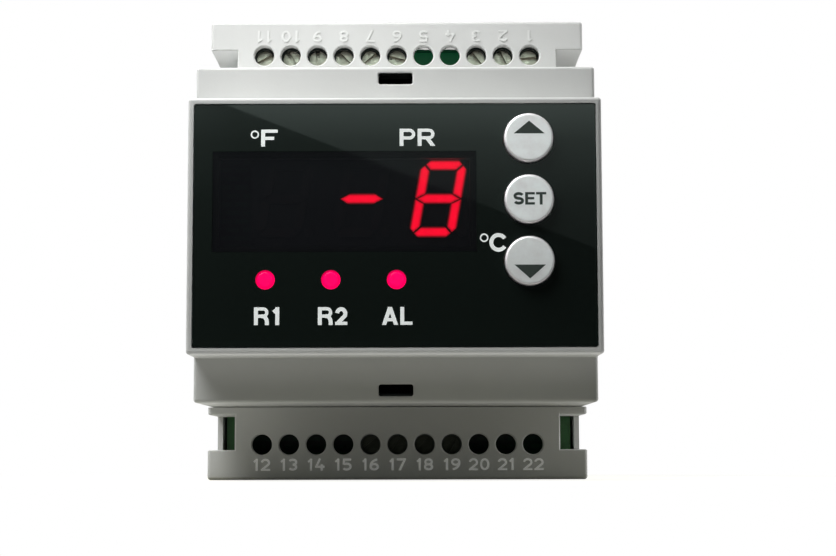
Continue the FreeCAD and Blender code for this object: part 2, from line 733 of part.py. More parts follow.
def link_board():
    """The upright board between the main board and the front board."""
    body = new_body("link_board")
    outline = rect("0", "link_y", "link_width", "board_thickness")
    pad(body, "link_sheet", [outline], BOARD_FACE, f"{FRONT_BOARD_BACK} - {BOARD_FACE}")


def display_module():
    body = new_body("display_module")
    outline = rect("digit_x", "digit_y", "display_width", "display_height")
    pad(body, "display_block", [outline], FRONT_BOARD_FACE, "display_depth")


def digit_segments(place):
    """The seven bars, by their letters, of the slanted digit that many pitches from the middle one."""
    half_w = "digit_width / 2"
    half_h = "digit_height / 2"
    bevel = "digit_chamfer"
    bar = "segment_width"
    gap = "segment_gap"

    def slanted(points):
        middle_x = f"digit_x + {place} * digit_pitch"
        lean = "tan(digit_slant * 1 deg)"
        return [(f"{middle_x} + ({x}) + ({y}) * {lean}", f"digit_y + ({y})") for x, y in points]

    def mirrored(points):
        """Points of the right half of a bar, followed by the left half's in the opposite order."""
        return points + [(f"-({x})", y) for x, y in reversed(points)]

    def flat(sign):
        return mirrored([
            (f"{half_w} - {bar} - {gap}", f"{sign} * ({half_h} - {bar})"),
            (f"{half_w} - ({bevel} + {gap}) / 2", f"{sign} * ({half_h} - ({bevel} - {gap}) / 2)"),
            (f"{half_w} - {bevel}", f"{sign} * {half_h}"),
        ])

    def upright(side, sign):
        return [
            (f"{side} * ({half_w} - ({bevel} - {gap}) / 2)",
             f"{sign} * ({half_h} - ({bevel} + {gap}) / 2)"),
            (f"{side} * ({half_w} - {bar})", f"{sign} * ({half_h} - {bar} - {gap})"),
            (f"{side} * ({half_w} - {bar})", f"{sign} * ({bar} + {gap}) / 2"),
            (f"{side} * {half_w}", f"{sign} * {gap} / 2"),
            (f"{side} * {half_w}", f"{sign} * ({half_h} - {bevel})"),
        ]

    middle = mirrored([
        (f"{half_w} - {bar} - {gap} / 2", f"-{bar} / 2"),
        (f"{half_w} - 3 * {gap} / 2", "0"),
        (f"{half_w} - {bar} - {gap} / 2", f"{bar} / 2"),
    ])
    bars = {
        "a": flat(1),
        "b": upright(1, 1),
        "c": upright(1, -1),
        "d": flat(-1),
        "e": upright(-1, -1),
        "f": upright(-1, 1),
        "g": middle,
    }
    return {letter: slanted(points) for letter, points in bars.items()}


def display_segments():
    """Light bars on the display's face. The middle digit shows a minus sign and the right one an 8."""
    left, middle, right = (digit_segments(place) for place in (-1, 0, 1))
    lit = [middle["g"], *right.values()]
    dark = [*left.values(), *(points for letter, points in middle.items() if letter != "g")]
    point_x = "digit_width / 2 + point_diameter / 2 + 2 * segment_gap"
    low = "digit_height / 2 - point_diameter / 2"
    lean = f"({low}) * tan(digit_slant * 1 deg)"
    first_x = f"digit_x + {point_x} - {lean}"
    points = [
        circle(f"{first_x} + {place} * digit_pitch", f"digit_y - ({low})", "point_diameter")
        for place in (-1, 0, 1)
    ]
    pad(new_body("lit_segments"), "lit_bars", lit, DISPLAY_FACE, "segment_height")
    pad(new_body("dark_segments"), "dark_bars", dark + points, DISPLAY_FACE, "segment_height")


def key(name, step):
    """A round key with a flange behind the front plate, and the switch plunger that it presses."""
    y = f"key_middle_y + {step} * key_pitch"
    flange_top = f"({PLATE_BACK} - hole_play)"
    flange_back = f"({flange_top} - key_flange_height)"
    body = new_body(f"{name}_button")
    pad(body, f"{name}_flange", [circle("key_x", y, "key_flange")], flange_back, "key_flange_height")
    crown = f"{LABEL_FACE} + key_proud"
    cap_outline = circle("key_x", y, "key_diameter")
    cap = pad(body, f"{name}_cap", [cap_outline], flange_top, f"{crown} - {flange_top}")
    dress(body, "Fillet", "key_round", front_edges(crown), cap)
    pad(body, f"{name}_foot", [circle("key_x", y, "key_foot")], PLUNGER_TOP,
        f"{flange_back} - {PLUNGER_TOP}")
    plunger = new_body(f"{name}_plunger")
    stem = circle("key_x", y, "plunger_diameter")
    pad(plunger, f"{name}_stem", [stem], f"{PLUNGER_TOP} - plunger_length", "plunger_length")


def tact_switches():
    body = new_body("tact_switches")
    places = [f"key_middle_y + {step} * key_pitch" for step in KEYS.values()]
    cases = [rect("key_x", y, "switch_side", "switch_side") for y in places]
    bores = [circle("key_x", y, "plunger_diameter + 2 * plunger_play") for y in places]
    pad(body, "switch_cases", cases, FRONT_BOARD_FACE, "switch_height")
    cut(body, "switch_bores", bores, SWITCH_TOP, "switch_bore_depth")


def lead(lamp, side, play="0 * lamp_lead"):
    """Outline of one of a lamp's two leads."""
    x = f"lamp_first_x + {lamp} * lamp_pitch + {side} * lamp_lead_offset"
    return rect(x, "lamp_y", f"lamp_lead + 2 * {play}", f"lamp_lead + 2 * {play}")


def lamp(name, number):
    body = new_body(name)
    x = f"lamp_first_x + {number} * lamp_pitch"
    base = f"({LABEL_FACE} - lamp_height)"
    pad(body, f"{name}_rim", [circle(x, "lamp_y", "lamp_flange")], base, "lamp_flange_height")
    dome = pad(body, f"{name}_dome", [circle(x, "lamp_y", "lamp_diameter")], base, "lamp_height")
    dress(body, "Fillet", "edge_round", front_edges(LABEL_FACE), dome)
    leads = [lead(number, i) for i in (-1, 1)]
    low = f"({FRONT_BOARD_BACK} - lamp_lead_proud)"
    pad(body, f"{name}_leads", leads, low, f"{base} - {low}")


def microcontroller():
    body = new_body("microcontroller")
    outline = rounded("chip_x", "chip_y", "chip_side", "chip_side", "edge_round")
    pad(body, "chip", [outline], f"{FRONT_BOARD_BACK} - chip_height", "chip_height")


def relay(label, y):
    body = new_body(label)
    outline = rounded("relay_x", y, "relay_length", "relay_depth", "relay_round")
    case = pad(body, f"{label}_case", [outline], BOARD_FACE, "relay_height")
    dress(body, "Fillet", "edge_round", front_edges(f"{BOARD_FACE} + relay_height"), case)


def transformer():
    body = new_body("transformer")
    outline = rect("transformer_x", "transformer_y", "transformer_length", "transformer_depth")
    block = pad(body, "potted_block", [outline], BOARD_FACE, "transformer_height")
    dress(body, "Chamfer", "transformer_chamfer", front_edges(f"{BOARD_FACE} + transformer_height"), block)


def smoothing_capacitor():
    body = new_body("smoothing_capacitor")
    outline = circle("capacitor_x", "capacitor_y", "capacitor_diameter")
    can = pad(body, "can", [outline], BOARD_FACE, "capacitor_height")
    dress(body, "Fillet", "capacitor_round", front_edges(f"{BOARD_FACE} + capacitor_height"), can)


# Terminals


def terminal_place(number):
    """How many pitches a terminal stands to the right of the middle, and on which side of the case."""
    if number <= TERMINALS_PER_ROW:
        return TOP_MIDDLE_NUMBER - number, 1
    return number - BOTTOM_MIDDLE_NUMBER, -1


def fitted_runs(numbers):
    """First and last number of each unbroken run of fitted terminals, which share one moulded strip."""
    runs = []
    for number in numbers:
        if runs and number == runs[-1][1] + 1:
            runs[-1][1] = number
        else:
            runs.append([number, number])
    return runs


def fitted_terminals():
    return [terminal_place(number) for number in (*TOP_SCREWS, *BOTTOM_SCREWS)]


def chamber_middle(side):
    """The clamp chambers, the cages and the screws share this line."""
    return f"{side} * terminal_y"


def terminal_block(first, last):
    """A strip with a screw well and a bore over each clamp chamber, which is open below and to the wire."""
    body = new_body(f"terminal_block_{first}_{last}")
    places = [terminal_place(number) for number in range(first, last + 1)]
    side = places[0][1]
    steps = [step for step, _ in places]
    count = len(steps)
    middle = f"{sum(steps) / count} * terminal_pitch"
    y = chamber_middle(side)
    outline = rect(middle, y, f"{count} * terminal_pitch", "block_depth")
    pad(body, f"strip_{first}", [outline], BOARD_FACE, "block_height")
    wells = [circle(f"{n} * terminal_pitch", y, "screw_head + 2 * well_play") for n in steps]
    cut(body, f"wells_{first}", wells, BLOCK_TOP, "well_depth")
    bores = [circle(f"{n} * terminal_pitch", y, "screw_shank + 2 * well_play") for n in steps]
    cut(body, f"bores_{first}", bores, BLOCK_TOP, "block_height")
    chamber_depth = "block_depth - 2 * block_wall"
    chambers = [rect(f"{n} * terminal_pitch", y, "chamber_width", chamber_depth) for n in steps]
    cut(body, f"chambers_{first}", chambers, f"{BOARD_FACE} + chamber_height", "chamber_height")
    face = f"{-side} * (terminal_y + block_depth / 2)"
    sketch = draw(body, f"entries_{first}", wire_entries(steps), face, plane="XZ_Plane")
    extrude(body, "Pocket", sketch, "2 * block_wall", symmetric=True)


def screw(number, angle):
    body = new_body(f"screw_{number:02d}")
    step, side = terminal_place(number)
    x = f"{step} * terminal_pitch"
    y = chamber_middle(side)
    seat = f"({WELL_FLOOR} + screw_float)"
    tip = f"({BAR_TOP} + screw_float)"
    pad(body, f"shank_{number}", [circle(x, y, "screw_shank")], tip, f"{seat} - {tip}")
    pad(body, f"head_{number}", [circle(x, y, "screw_head")], seat, "screw_head_height")
    slot = rect("0", "0", "2 * screw_head", "screw_slot")
    crown = f"{seat} + screw_head_height"
    cut(body, f"slot_{number}", [slot], crown, "screw_slot_depth", turn=angle, place=(x, y))


def cage(number):
    """The rising clamp: a rectangular ring, open along the wire, threaded on the screw."""
    body = new_body(f"cage_{number:02d}")
    step, side = terminal_place(number)
    x = f"{step} * terminal_pitch"
    y = chamber_middle(side)
    low = f"({BOARD_FACE} + cage_lift)"
    top = f"({low} + cage_height)"
    pad(body, f"ring_{number}", [rect(x, y, "cage_width", "cage_depth")], low, "cage_height")
    inside = "(cage_width / 2 - cage_side)"
    room = span(f"{x} - {inside}", f"{low} + cage_bottom", f"{x} + {inside}", f"{top} - cage_top")
    sketch = draw(body, f"ring_room_{number}", [room], f"{-side} * terminal_y", plane="XZ_Plane")
    extrude(body, "Pocket", sketch, "2 * cage_depth", symmetric=True)
    cut(body, f"thread_{number}", [circle(x, y, "screw_shank + 2 * thread_play")], top, "2 * cage_top")


def contact_pin(step, side, play="0 * pin_width"):
    """Outline of a contact's solder pin, at the inner end of its bar."""
    y = f"{side} * (terminal_y - bar_length / 2 + pin_thickness / 2)"
    return rect(f"{step} * terminal_pitch", y, f"pin_width + 2 * {play}", f"pin_thickness + 2 * {play}")


def terminal_contacts():
    """A flat bar through each cage, with its pin down through the board."""
    body = new_body("terminal_contacts")
    places = fitted_terminals()
    bars = [
        rect(f"{n} * terminal_pitch", chamber_middle(side), "bar_width", "bar_length")
        for n, side in places
    ]
    pad(body, "contact_bars", bars, f"{BAR_TOP} - bar_thickness", "bar_thickness")
    low = "(board_seat - pin_reach)"
    pins = [contact_pin(n, side) for n, side in places]
    pad(body, "contact_pins", pins, low, f"{BAR_TOP} - bar_thickness - {low}")


# Rail clip


def rail_clip():
    """The slider behind the lower foot: a head that hooks the rail, and a plate that holds its spring."""
    body = new_body("rail_clip")
    tail = "-(case_height / 2 - clip_tail_inset)"
    profile = [
        (tail, f"-{CLIP_FLOOR}"),
        (f"-{CLIP_BACK}", f"-{CLIP_FLOOR}"),
        (f"-{CLIP_BACK}", "-foot_depth"),
        (f"-({HOOK_NOSE} + hook_overlap / 2)", "-foot_depth"),
        (f"-{HOOK_NOSE}", "-foot_depth + hook_overlap"),
        (f"-{HOOK_NOSE}", "-rail_sheet_room"),
        (f"-{HOOK_WALL}", "-rail_sheet_room"),
        (f"-{HOOK_WALL}", "-clip_play"),
        (tail, "-clip_play"),
    ]
    pad_across(body, "clip_plate", profile, "clip_width")
    room = span("-clip_window / 2", f"-({PEG_LOW} + clip_play / 2)", "clip_window / 2", f"-{SPRING_HIGH}")
    cut(body, "spring_window", [room], "0", "foot_depth")
    lever_y = "-(case_height / 2 - clip_tail_inset - lever_slot_inset)"
    lever = rect("0", lever_y, "lever_slot_width", "lever_slot_height")
    cut(body, "lever_slot", [lever], "0", "foot_depth")


def clip_spring():
    """A folded strip with flat ends, between the housing's peg and the upper edge of the clip's window."""
    body = new_body("clip_spring")
    side_x = "spring_width / 2"
    rise = f"((spring_length - spring_sheet) / {SPRING_FOLDS})"
    crook = f"(spring_sheet * spring_width / (2 * {rise}))"

    def level(fold):
        return f"-{PEG_HIGH} + {fold} * {rise}"

    def outer(side, fold):
        x = f"{side} * {side_x}"
        return [(x, level(fold)), (x, f"{level(fold)} + spring_sheet")]

    def inner(side, fold):
        return [(f"{side} * ({side_x} - {crook})", f"{level(fold)} + spring_sheet / 2")]

    rising = []
    falling = []
    for fold in range(1, SPRING_FOLDS):
        rising += inner(-1, fold) if fold % 2 else outer(1, fold)
        falling += outer(-1, fold) if fold % 2 else inner(1, fold)
    low_crook = (f"{side_x} - 2 * {crook}", f"{level(0)} + spring_sheet")
    high_crook = (f"{side_x} - 2 * {crook}", level(SPRING_FOLDS))
    low_bar = outer(-1, 0)
    high_bar = outer(-1, SPRING_FOLDS)
    strip = [low_bar[0], *outer(1, 0), *rising, *outer(1, SPRING_FOLDS)]
    strip += [high_bar[1], high_bar[0], high_crook]
    strip += [*reversed(falling), low_crook, low_bar[1]]
    low = "-(clip_play + clip_thickness / 2 + spring_height / 2)"
    pad(body, "spring_strip", [strip], low, "spring_height")


def build():
    rear_housing()
    front_cover()
    terminal_cover("upper_terminal_cover", 1)
    terminal_cover("lower_terminal_cover", -1)
    front_label()
    display_window()
    main_board()
    front_board()
    link_board()
    display_module()
    display_segments()
    for name, step in KEYS.items():
        key(name, step)
    tact_switches()
    for number, name in enumerate(LAMPS):
        lamp(name, number)
    microcontroller()
    relay("relay_1", "relay_1_y")
    relay("relay_2", "relay_2_y")
    transformer()
    smoothing_capacitor()
    for first, last in fitted_runs([*TOP_SCREWS, *BOTTOM_SCREWS]):
        terminal_block(first, last)
    for number, angle in {**TOP_SCREWS, **BOTTOM_SCREWS}.items():
        screw(number, angle)
        cage(number)
    terminal_contacts()
    rail_clip()
    clip_spring()


def export():
    """Writes every piece to a file of its own, once all of them are sound."""
    doc.recompute()
    for item in doc.Objects:
        if "Invalid" in item.State or "Error" in item.State:
            raise RuntimeError(f"{item.Label} could not be made: {item.State}")
    bodies = [item for item in doc.Objects if item.TypeId == "PartDesign::Body"]
    for body in bodies:
        if body.Shape.isNull() or not body.Shape.isValid() or not body.Shape.Solids:
            raise RuntimeError(f"{body.Label} is not a sound solid")
    os.makedirs("parts", exist_ok=True)
    for body in bodies:
        body.Shape.exportStep(f"parts/{body.Label}.step")
    print(len(bodies), "pieces written")


build()
export()
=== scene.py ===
import json
import math

import bpy
from mathutils import Matrix, Vector
from mathutils.geometry import delaunay_2d_cdt

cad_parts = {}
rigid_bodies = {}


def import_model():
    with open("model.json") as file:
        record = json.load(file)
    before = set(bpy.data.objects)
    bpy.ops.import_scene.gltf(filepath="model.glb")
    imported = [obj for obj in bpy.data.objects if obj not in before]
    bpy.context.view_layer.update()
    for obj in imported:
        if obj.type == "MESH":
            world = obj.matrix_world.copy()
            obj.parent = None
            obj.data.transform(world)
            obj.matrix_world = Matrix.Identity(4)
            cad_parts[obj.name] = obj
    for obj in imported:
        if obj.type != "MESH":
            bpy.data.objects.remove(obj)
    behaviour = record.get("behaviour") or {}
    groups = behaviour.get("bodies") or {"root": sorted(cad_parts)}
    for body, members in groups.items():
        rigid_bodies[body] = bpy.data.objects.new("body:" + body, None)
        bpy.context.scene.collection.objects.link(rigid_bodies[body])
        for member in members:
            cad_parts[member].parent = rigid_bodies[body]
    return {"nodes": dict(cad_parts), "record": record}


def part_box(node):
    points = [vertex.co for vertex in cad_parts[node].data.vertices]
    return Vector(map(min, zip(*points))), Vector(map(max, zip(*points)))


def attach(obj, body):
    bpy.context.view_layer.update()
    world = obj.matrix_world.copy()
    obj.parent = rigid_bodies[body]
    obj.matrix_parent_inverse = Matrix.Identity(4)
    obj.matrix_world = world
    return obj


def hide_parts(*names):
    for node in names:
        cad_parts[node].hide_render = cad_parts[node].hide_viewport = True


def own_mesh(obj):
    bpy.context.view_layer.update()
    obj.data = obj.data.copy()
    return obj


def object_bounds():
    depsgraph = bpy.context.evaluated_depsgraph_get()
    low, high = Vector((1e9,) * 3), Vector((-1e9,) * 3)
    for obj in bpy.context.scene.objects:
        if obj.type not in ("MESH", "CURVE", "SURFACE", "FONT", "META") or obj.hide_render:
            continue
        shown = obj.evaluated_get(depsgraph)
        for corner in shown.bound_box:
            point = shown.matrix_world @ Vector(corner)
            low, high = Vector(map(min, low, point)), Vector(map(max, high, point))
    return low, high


# Looks of a DIN-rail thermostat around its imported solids
# Lengths are in millimetres unless a name says otherwise
# Colours of three whole numbers are as displayed, and those of four shares are linear
MM = 0.001
WHITE = (1.0, 1.0, 1.0, 1.0)
BLACK = (0.0, 0.0, 0.0, 1.0)

# Camera, fitted to the photo's outline
PIXELS_WIDE = 836
SENSOR_WIDTH = 36.0
CAMERA_PLACE = (3.85, -329.94, -39.44)
CAMERA_PITCH = 5.46
CAMERA_ROLL = -0.15
CAMERA_FOCUS_PIXELS = 1643.9
CAMERA_SHIFT_UP = 0.03
CAMERA_CLIP_METRES = (0.01, 10.0)

# A soft box above and to the left, a rim light, and low reflectors that lift the undersides
# Each lamp: size, watts, place, what it faces, whether mirrors show it
LAMPS = {
    "key_light": ((130.0, 130.0), 0.495, (-80.0, -105.0, 150.0), (0.0, -30.0, 0.0), True),
    "rim_light": ((80.0, 120.0), 0.06, (90.0, -20.0, 4.0), (35.0, -45.0, 4.0), False),
    "ledge_light": ((130.0, 5.0), 0.0021, (0.0, -57.5, -27.0), (0.0, -57.5, 0.0), False),
    "left_reflector": ((60.0, 24.0), 0.004, (-62.0, -44.0, -42.6), (-62.0, -44.0, 0.0), False),
    "right_reflector": ((60.0, 24.0), 0.0009, (62.0, -44.0, -42.6), (62.0, -44.0, 0.0), False),
    "under_reflector": ((220.0, 16.0), 0.003, (0.0, -52.0, -42.6), (0.0, -52.0, 0.0), False),
}

# Room, which turns from a dim front to a white back, and floor
AMBIENT_FRONT = (0.03, 0.03, 0.03, 1.0)
MIRRORED_FRONT = 0.06
BACK_TURN = (-0.3, 0.3)
FLOOR_REACH = 1500.0
FLOOR_COLOUR = (0.25, 0.245, 0.18, 1.0)
FLOOR_GLOW_NEAR = 0.82
FLOOR_DIM_Y = (-110.0, -40.0)
FLOOR_FADE = (60.0, 115.0)

# Cards in front of the device: a dim one, and a brighter one whose lower edge is the glare's slanted edge
CARD_PLACE_Y = -556.0
CARD_TINT = (0.82, 1.0, 0.93)
CARD_RAMP = ((0.0, 0.016), (0.43, 0.06), (0.6, 0.1), (0.8, 0.25), (0.92, 0.5), (1.0, 0.7))
CARD_RAMP_TOP = 140.0
FLAG_REACH = 260.0
FLAG_FOOT = -60.0
FLAG_SIDE = (-104.0, -82.0)
FLAG_SHARE = 0.7
GLARE_EDGE = ((-94.0, 132.0), (91.5, 58.6))
GLARE_RUN_UP = 200.0
GLARE_LENGTH = 700.0
GLARE_HEIGHT = 320.0
GLARE_NEARER = 4.0
GLARE_GAIN = 2.2

# How displayed levels turn into linear ones
DISPLAY_WHITE = 255
DISPLAY_TOE = 0.04045
DISPLAY_TOE_SLOPE = 12.92
DISPLAY_OFFSET = 0.055
DISPLAY_POWER = 2.4

# Shader nodes: usual noise, the part of its range that is used, and the numbers of a colour mix's sockets
NOISE_DETAIL = 3.0
NOISE_ROUGHNESS = 0.55
NOISE_SPAN = (0.35, 0.65)
UNIT_SPAN = (0.0, 1.0)
RAMP_MIDDLE = 0.5
MIX_FIRST = 6
MIX_SECOND = 7
MIX_RESULT = 2

# Below, clouds are pairs of noise level and shade, and a relief is the size, depth and strength of a bump

# Moulded plastic
MOTTLE_SIZE = 22.0
MOTTLE_DETAIL = 4.0
MOTTLE = ((0.3, 0.97), (0.7, 1.03))
GLOSS_SIZE = 3.0
GLOSS_SPREAD = 0.05
GRAIN_RELIEF = (0.35, 0.02, 0.35)
WAVE_RELIEF = (9.0, 0.08, 0.12)
FINE_DETAIL = 2.0
PLASTIC_SPECULAR = 0.3

# Dark specks in the housing
SPECK_SPACING = 7.5
SPECK_EDGE = (0.012, 0.03)
SPECK_PATCH_SIZE = 14.0
SPECK_PATCH_SPAN = (0.5, 0.62)
SPECK_STRENGTH = 0.75
SPECK_SHADE = 0.35

# Painted shade and painted light in boxes of the housing: middle, half size, whether mirrored about each
# middle plane, colour
HOUSING_PAINTED_LIGHT = {
    # painted shade inside the shoulders' slots
    "shoulder_slots": ((0.0, 38.0, 27.4), (4.0, 7.7, 1.9), True, (0.008, 0.009, 0.008, 1.0)),
    # painted light inside the upper left notch
    "lit_upper_left_notch": ((-33.0, -16.0, 34.2), (3.2, 9.9, 3.7), False, (0.88, 0.89, 0.88, 1.0)),
    # painted shade on the walls of the display window's opening
    "shaded_window_opening": ((-8.5, -54.5, 4.03), (22.5, 1.25, 8.75), False, (0.002, 0.002, 0.002, 1.0)),
}

# Plastics: colour, roughness, specular level
HOUSING_COLOUR = (207, 208, 206)
HOUSING_ROUGHNESS = 0.5
HOUSING_SPECULAR = 0.25
PLASTICS = {
    "clip_plastic": ((196, 200, 197), 0.45, PLASTIC_SPECULAR),
    "display_black": ((16, 16, 17), 0.6, PLASTIC_SPECULAR),
    "unlit_segment": ((30, 22, 23), 0.5, PLASTIC_SPECULAR),
    "switch_plastic": ((36, 36, 38), 0.5, PLASTIC_SPECULAR),
    "chip_black": ((24, 24, 25), 0.55, PLASTIC_SPECULAR),
    "relay_plastic": ((38, 38, 40), 0.4, PLASTIC_SPECULAR),
    "potting": ((32, 32, 34), 0.5, PLASTIC_SPECULAR),
    "capacitor_sleeve": ((24, 26, 40), 0.25, 0.5),
    "block_plastic": ((46, 52, 50), 0.45, PLASTIC_SPECULAR),
}

# Metals: colour, roughness, how much finer the scratches are along each axis
UPRIGHT_SCRATCHES = (1.0, 1.0, 12.0)
METALS = {
    "spring_steel": ((190, 190, 188), 0.3, (1.0, 8.0, 1.0)),
    "contact_brass": ((222, 216, 204), 0.28, UPRIGHT_SCRATCHES),
    "screw_steel": ((206, 200, 186), 0.36, UPRIGHT_SCRATCHES),
    # a darker copy of the screw steel, painted shade for the lower row's screws
    "screw_steel_shaded": ((44, 46, 40), 0.4, UPRIGHT_SCRATCHES),
    "cage_steel": ((198, 196, 186), 0.36, UPRIGHT_SCRATCHES),
}
SCRATCH_SIZE = 1.6
SCRATCH_DETAIL = 5.0
SCRATCH_ROUGHNESS = 0.7
SCRATCH_CLOUDS = ((0.35, 0.72), (0.62, 1.12))
SCRATCH_DEPTH = 0.02
SCRATCH_STRENGTH = 0.5
DULL_PATCH_SIZE = 0.9
DULL_PATCHES = (-0.1, 0.14)
# screws of the lower row, which get painted shade
SHADED_SCREWS = (16, 17, 18, 19)

# Label film
LABEL_BLACK = (22, 29, 26)
LABEL_FLECK_SIZE = 0.6
LABEL_FLECK_DETAIL = 6.0
LABEL_FLECKS = ((0.3, 0.8), (0.75, 1.25))
LABEL_ROUGHNESS = 0.015
LABEL_ROUGHNESS_RANGE = (0.005, 0.03)
LABEL_HAZE_SIZE = 5.0
LABEL_SPECULAR = 0.5
LABEL_RELIEF = (1.5, 0.001, 0.03)

# Smoked pane, of which each face hides this share of what lies behind
PANE_COLOUR = (28, 29, 34)
PANE_CLOUD_SIZE = 8.0
PANE_CLOUDS = ((0.3, 0.92), (0.7, 1.08))
PANE_ROUGHNESS = 0.02
PANE_SPECULAR = 0.5
PANE_COVER = 0.45

# Lit bars and their light layer: depth inside the bars' outline and share of the full glow there
BAR_NOISE_SIZE = 1.1
BAR_COLOUR = (160, 0, 20)
BAR_ROUGHNESS = 0.4
BAR_LIGHT = (255, 0, 40)
BAR_LIGHTS = ((0.25, (226, 0, 28)), (0.7, (255, 0, 44)))
BAR_STRENGTH = 3.2
GLOW_NAME = "glow"
GLOW_COLOUR = (18, 4, 5)
GLOW_ROUGHNESS = 0.6
GLOW_LIGHT = (255, 0, 42)
GLOW_FULL_LIGHT = (255, 0, 44)
GLOW_UNEVEN = (0.92, 1.0)
GLOW_STRENGTH = 3.3
GLOW_RINGS = ((0.0, 0.2), (0.2, 0.74), (0.42, 1.0))
GLOW_LIFT = 0.005
HALO_LEAST_SIDE = 2.0
HALO_WIDTH = 0.22
HALO_TAPER = 0.3
SAME_PLANE = 0.01
CORNER_DIGITS = 4

# Indicator lamps
LAMP_NOISE_SIZE = 0.8
LAMP_COLOUR = (200, 0, 70)
LAMP_ROUGHNESS = 0.3
LAMP_SPECULAR = 0.1
LAMP_LIGHT = (255, 4, 100)
LAMP_LIGHTS = ((0.3, (255, 0, 88)), (0.7, (255, 2, 100)))
LAMP_STRENGTH = 0.95

# Keys, darkened by painted shade between two heights, most on the lower key
KEY_COLOUR = (255, 249, 251)
KEY_CLOUD_SIZE = 2.4
KEY_CLOUD_DETAIL = 5.0
KEY_CLOUD_ROUGHNESS = 0.6
KEY_CLOUDS = ((0.3, 0.9), (0.7, 1.04))
KEY_METAL = 0.85
KEY_ROUGHNESS = 0.6
KEY_ROUGHNESS_RANGE = (0.54, 0.66)
KEY_FLAKE_SIZE = 0.25
KEY_FLAKE_RELIEF = (0.16, 0.01, 0.3)
KEY_WAVE_RELIEF = (3.0, 0.05, 0.2)
KEY_SHADE_Z = (-9.0, 1.0)
KEY_SHADE_SHARE = 0.42
KEY_SHADE_LEVEL = 0.6

# Printing ink
INK_CLOUD_SIZE = 0.3
INK_CLOUD_DETAIL = 4.0
INK_CLOUDS = ((0.25, 0.86), (0.7, 1.04))
INK_ROUGHNESS = 0.5
INK_SPECULAR = 0.3
INK_RELIEF = (0.2, 0.004, 0.2)
LABEL_INK = (236, 241, 239)
# painted glow that lightens the white print on the label
LABEL_INK_PAINTED_GLOW = 0.36
KEY_INK = (62, 70, 66)
MASK_INK = (4, 4, 5)
MASK_SPECULAR = 0.12

# Circuit boards, with paler copper along their margins that is also painted light where the board shows
# through the openings
BOARD_COLOUR = (8, 78, 44)
BOARD_BRICKS = {"Color1": (3, 46, 25), "Color2": (5, 54, 30), "Mortar": (2, 32, 18)}
BRICK_SIZE = 6.0
BRICK_MORTAR = 0.06
BRICK_TURN = 90.0
BRICK_DEPTH = 0.03
BRICK_STRENGTH = 0.4
BOARD_ROUGHNESS = 0.35
BOARD_ROUGHNESS_RANGE = (0.28, 0.42)
BOARD_GLOSS_SIZE = 2.0
MARGIN_X = 31.0
MARGIN_Z = 38.0
MARGIN_BLUR = 0.1
# paler copper margins, also painted light where the board shows through the notches and upper holes
BOARD_POUR_AND_LIGHT = (0.035, 0.15, 0.04, 1.0)
# painted glow in the board's top margin, seen through the upper holes
BOARD_PAINTED_GLOW = (0.003, 0.034, 0.014, 1.0)

# Faces that carry print and raised figures
LABEL_Y = -55.8
KEY_Y = -57.0
COVER_Y = -26.0
PRINT_HEIGHT = 0.02
FIGURE_HEIGHT = 0.12
SINK = 0.05
MASK_BORDER = 0.5
MERGE_DISTANCE = 0.0001

# Words on the label: lower left corner, cap height, each letter's kind and width, the gap between letters
LABEL_WORDS = (
    ((-22.6, 13.41), 2.9, (("F", 2.78),), 0.4),
    ((0.81, 13.46), 2.95, (("P", 2.63), ("R", 3.0)), 0.42),
    ((15.87, -4.6), 3.16, (("C", 3.1),), 0.4),
    ((-23.62, -16.88), 3.0, (("Rv", 2.5), ("1", 1.37)), 0.55),
    ((-12.92, -16.88), 3.0, (("Rv", 2.48), ("2", 2.04)), 0.41),
    ((-2.2, -16.88), 3.0, (("A", 2.72), ("L", 2.04)), 0.36),
)
LABEL_STROKE = 0.66
DEGREE_RINGS = ((-24.38, 14.76, 1.42), (14.27, -2.96, 1.46))
DEGREE_STROKE = 0.25
DEGREE_STEPS = 28

# Marks on the keys
KEY_X = 22.6
KEY_WORD = ((19.92, 3.2), 2.12, (("S", 1.76), ("E", 1.62), ("T", 1.72)), 0.2)
KEY_STROKE = 0.48
UP_TRIANGLE = ((-2.55, 15.33), (2.65, 15.33), (0.05, 17.5))
DOWN_TRIANGLE = ((-2.6, -6.93), (2.65, -6.93), (0.02, -9.27))

# Raised terminal numbers
PITCH = 5.0
UPPER_TERMINALS = range(1, 12)
LOWER_TERMINALS = range(12, 23)
MIDDLE_UPPER = 6
MIDDLE_LOWER = 17
UPPER_FIGURE_Z = 40.2
LOWER_FIGURE_Z = -40.2
FIGURE_SIZE = 2.2
FIGURE_WIDTH = 1.7
ONE_WIDTH = 0.62
FIGURE_STROKE = 0.38
FIGURE_GAP = 0.36
UPPER_FIGURE_GAP = 0.72
CREST_ROUGHNESS = 0.4
# the raised numbers are lightened copies of the housing grey, painted light, stronger on the shaded lower
# row, which also gets a painted glow
UPPER_CREST_PAINTED_LIGHT = 1.16
LOWER_CREST_PAINTED_LIGHT = 1.55
LOWER_CREST_PAINTED_GLOW = 0.08

# Strokes of letters: thickness of level ones, steps of a bend and of a whole turn, limits of a corner
STRAIGHT_LETTERS = ("A", "E", "F", "L", "T")
ROUND_LETTERS = ("C", "P", "R", "Rv", "S")
LOW_FIGURES = ("0", "1", "2", "3", "4")
THIN = 0.82
BEND_STEPS = 20
TURN_STEPS = 32
SAME_POINT = 1e-6
NO_LENGTH = 1e-9
MITRE_LEAST = 0.5

# Rail-clip spring
SPRING_LOW = -36.6
SPRING_HIGH = -26.1
SPRING_HALF_WIDTH = 3.5
SPRING_END_SHORTER = 0.1
SPRING_Y = (0.85, 2.85)
SPRING_SHEET = 0.42
SPRING_FOLDS = 6
SPRING_BEND_STEPS = 12


def clear_start():
    """Removes what Blender starts with."""
    for item in list(bpy.data.objects):
        bpy.data.objects.remove(item, do_unlink=True)


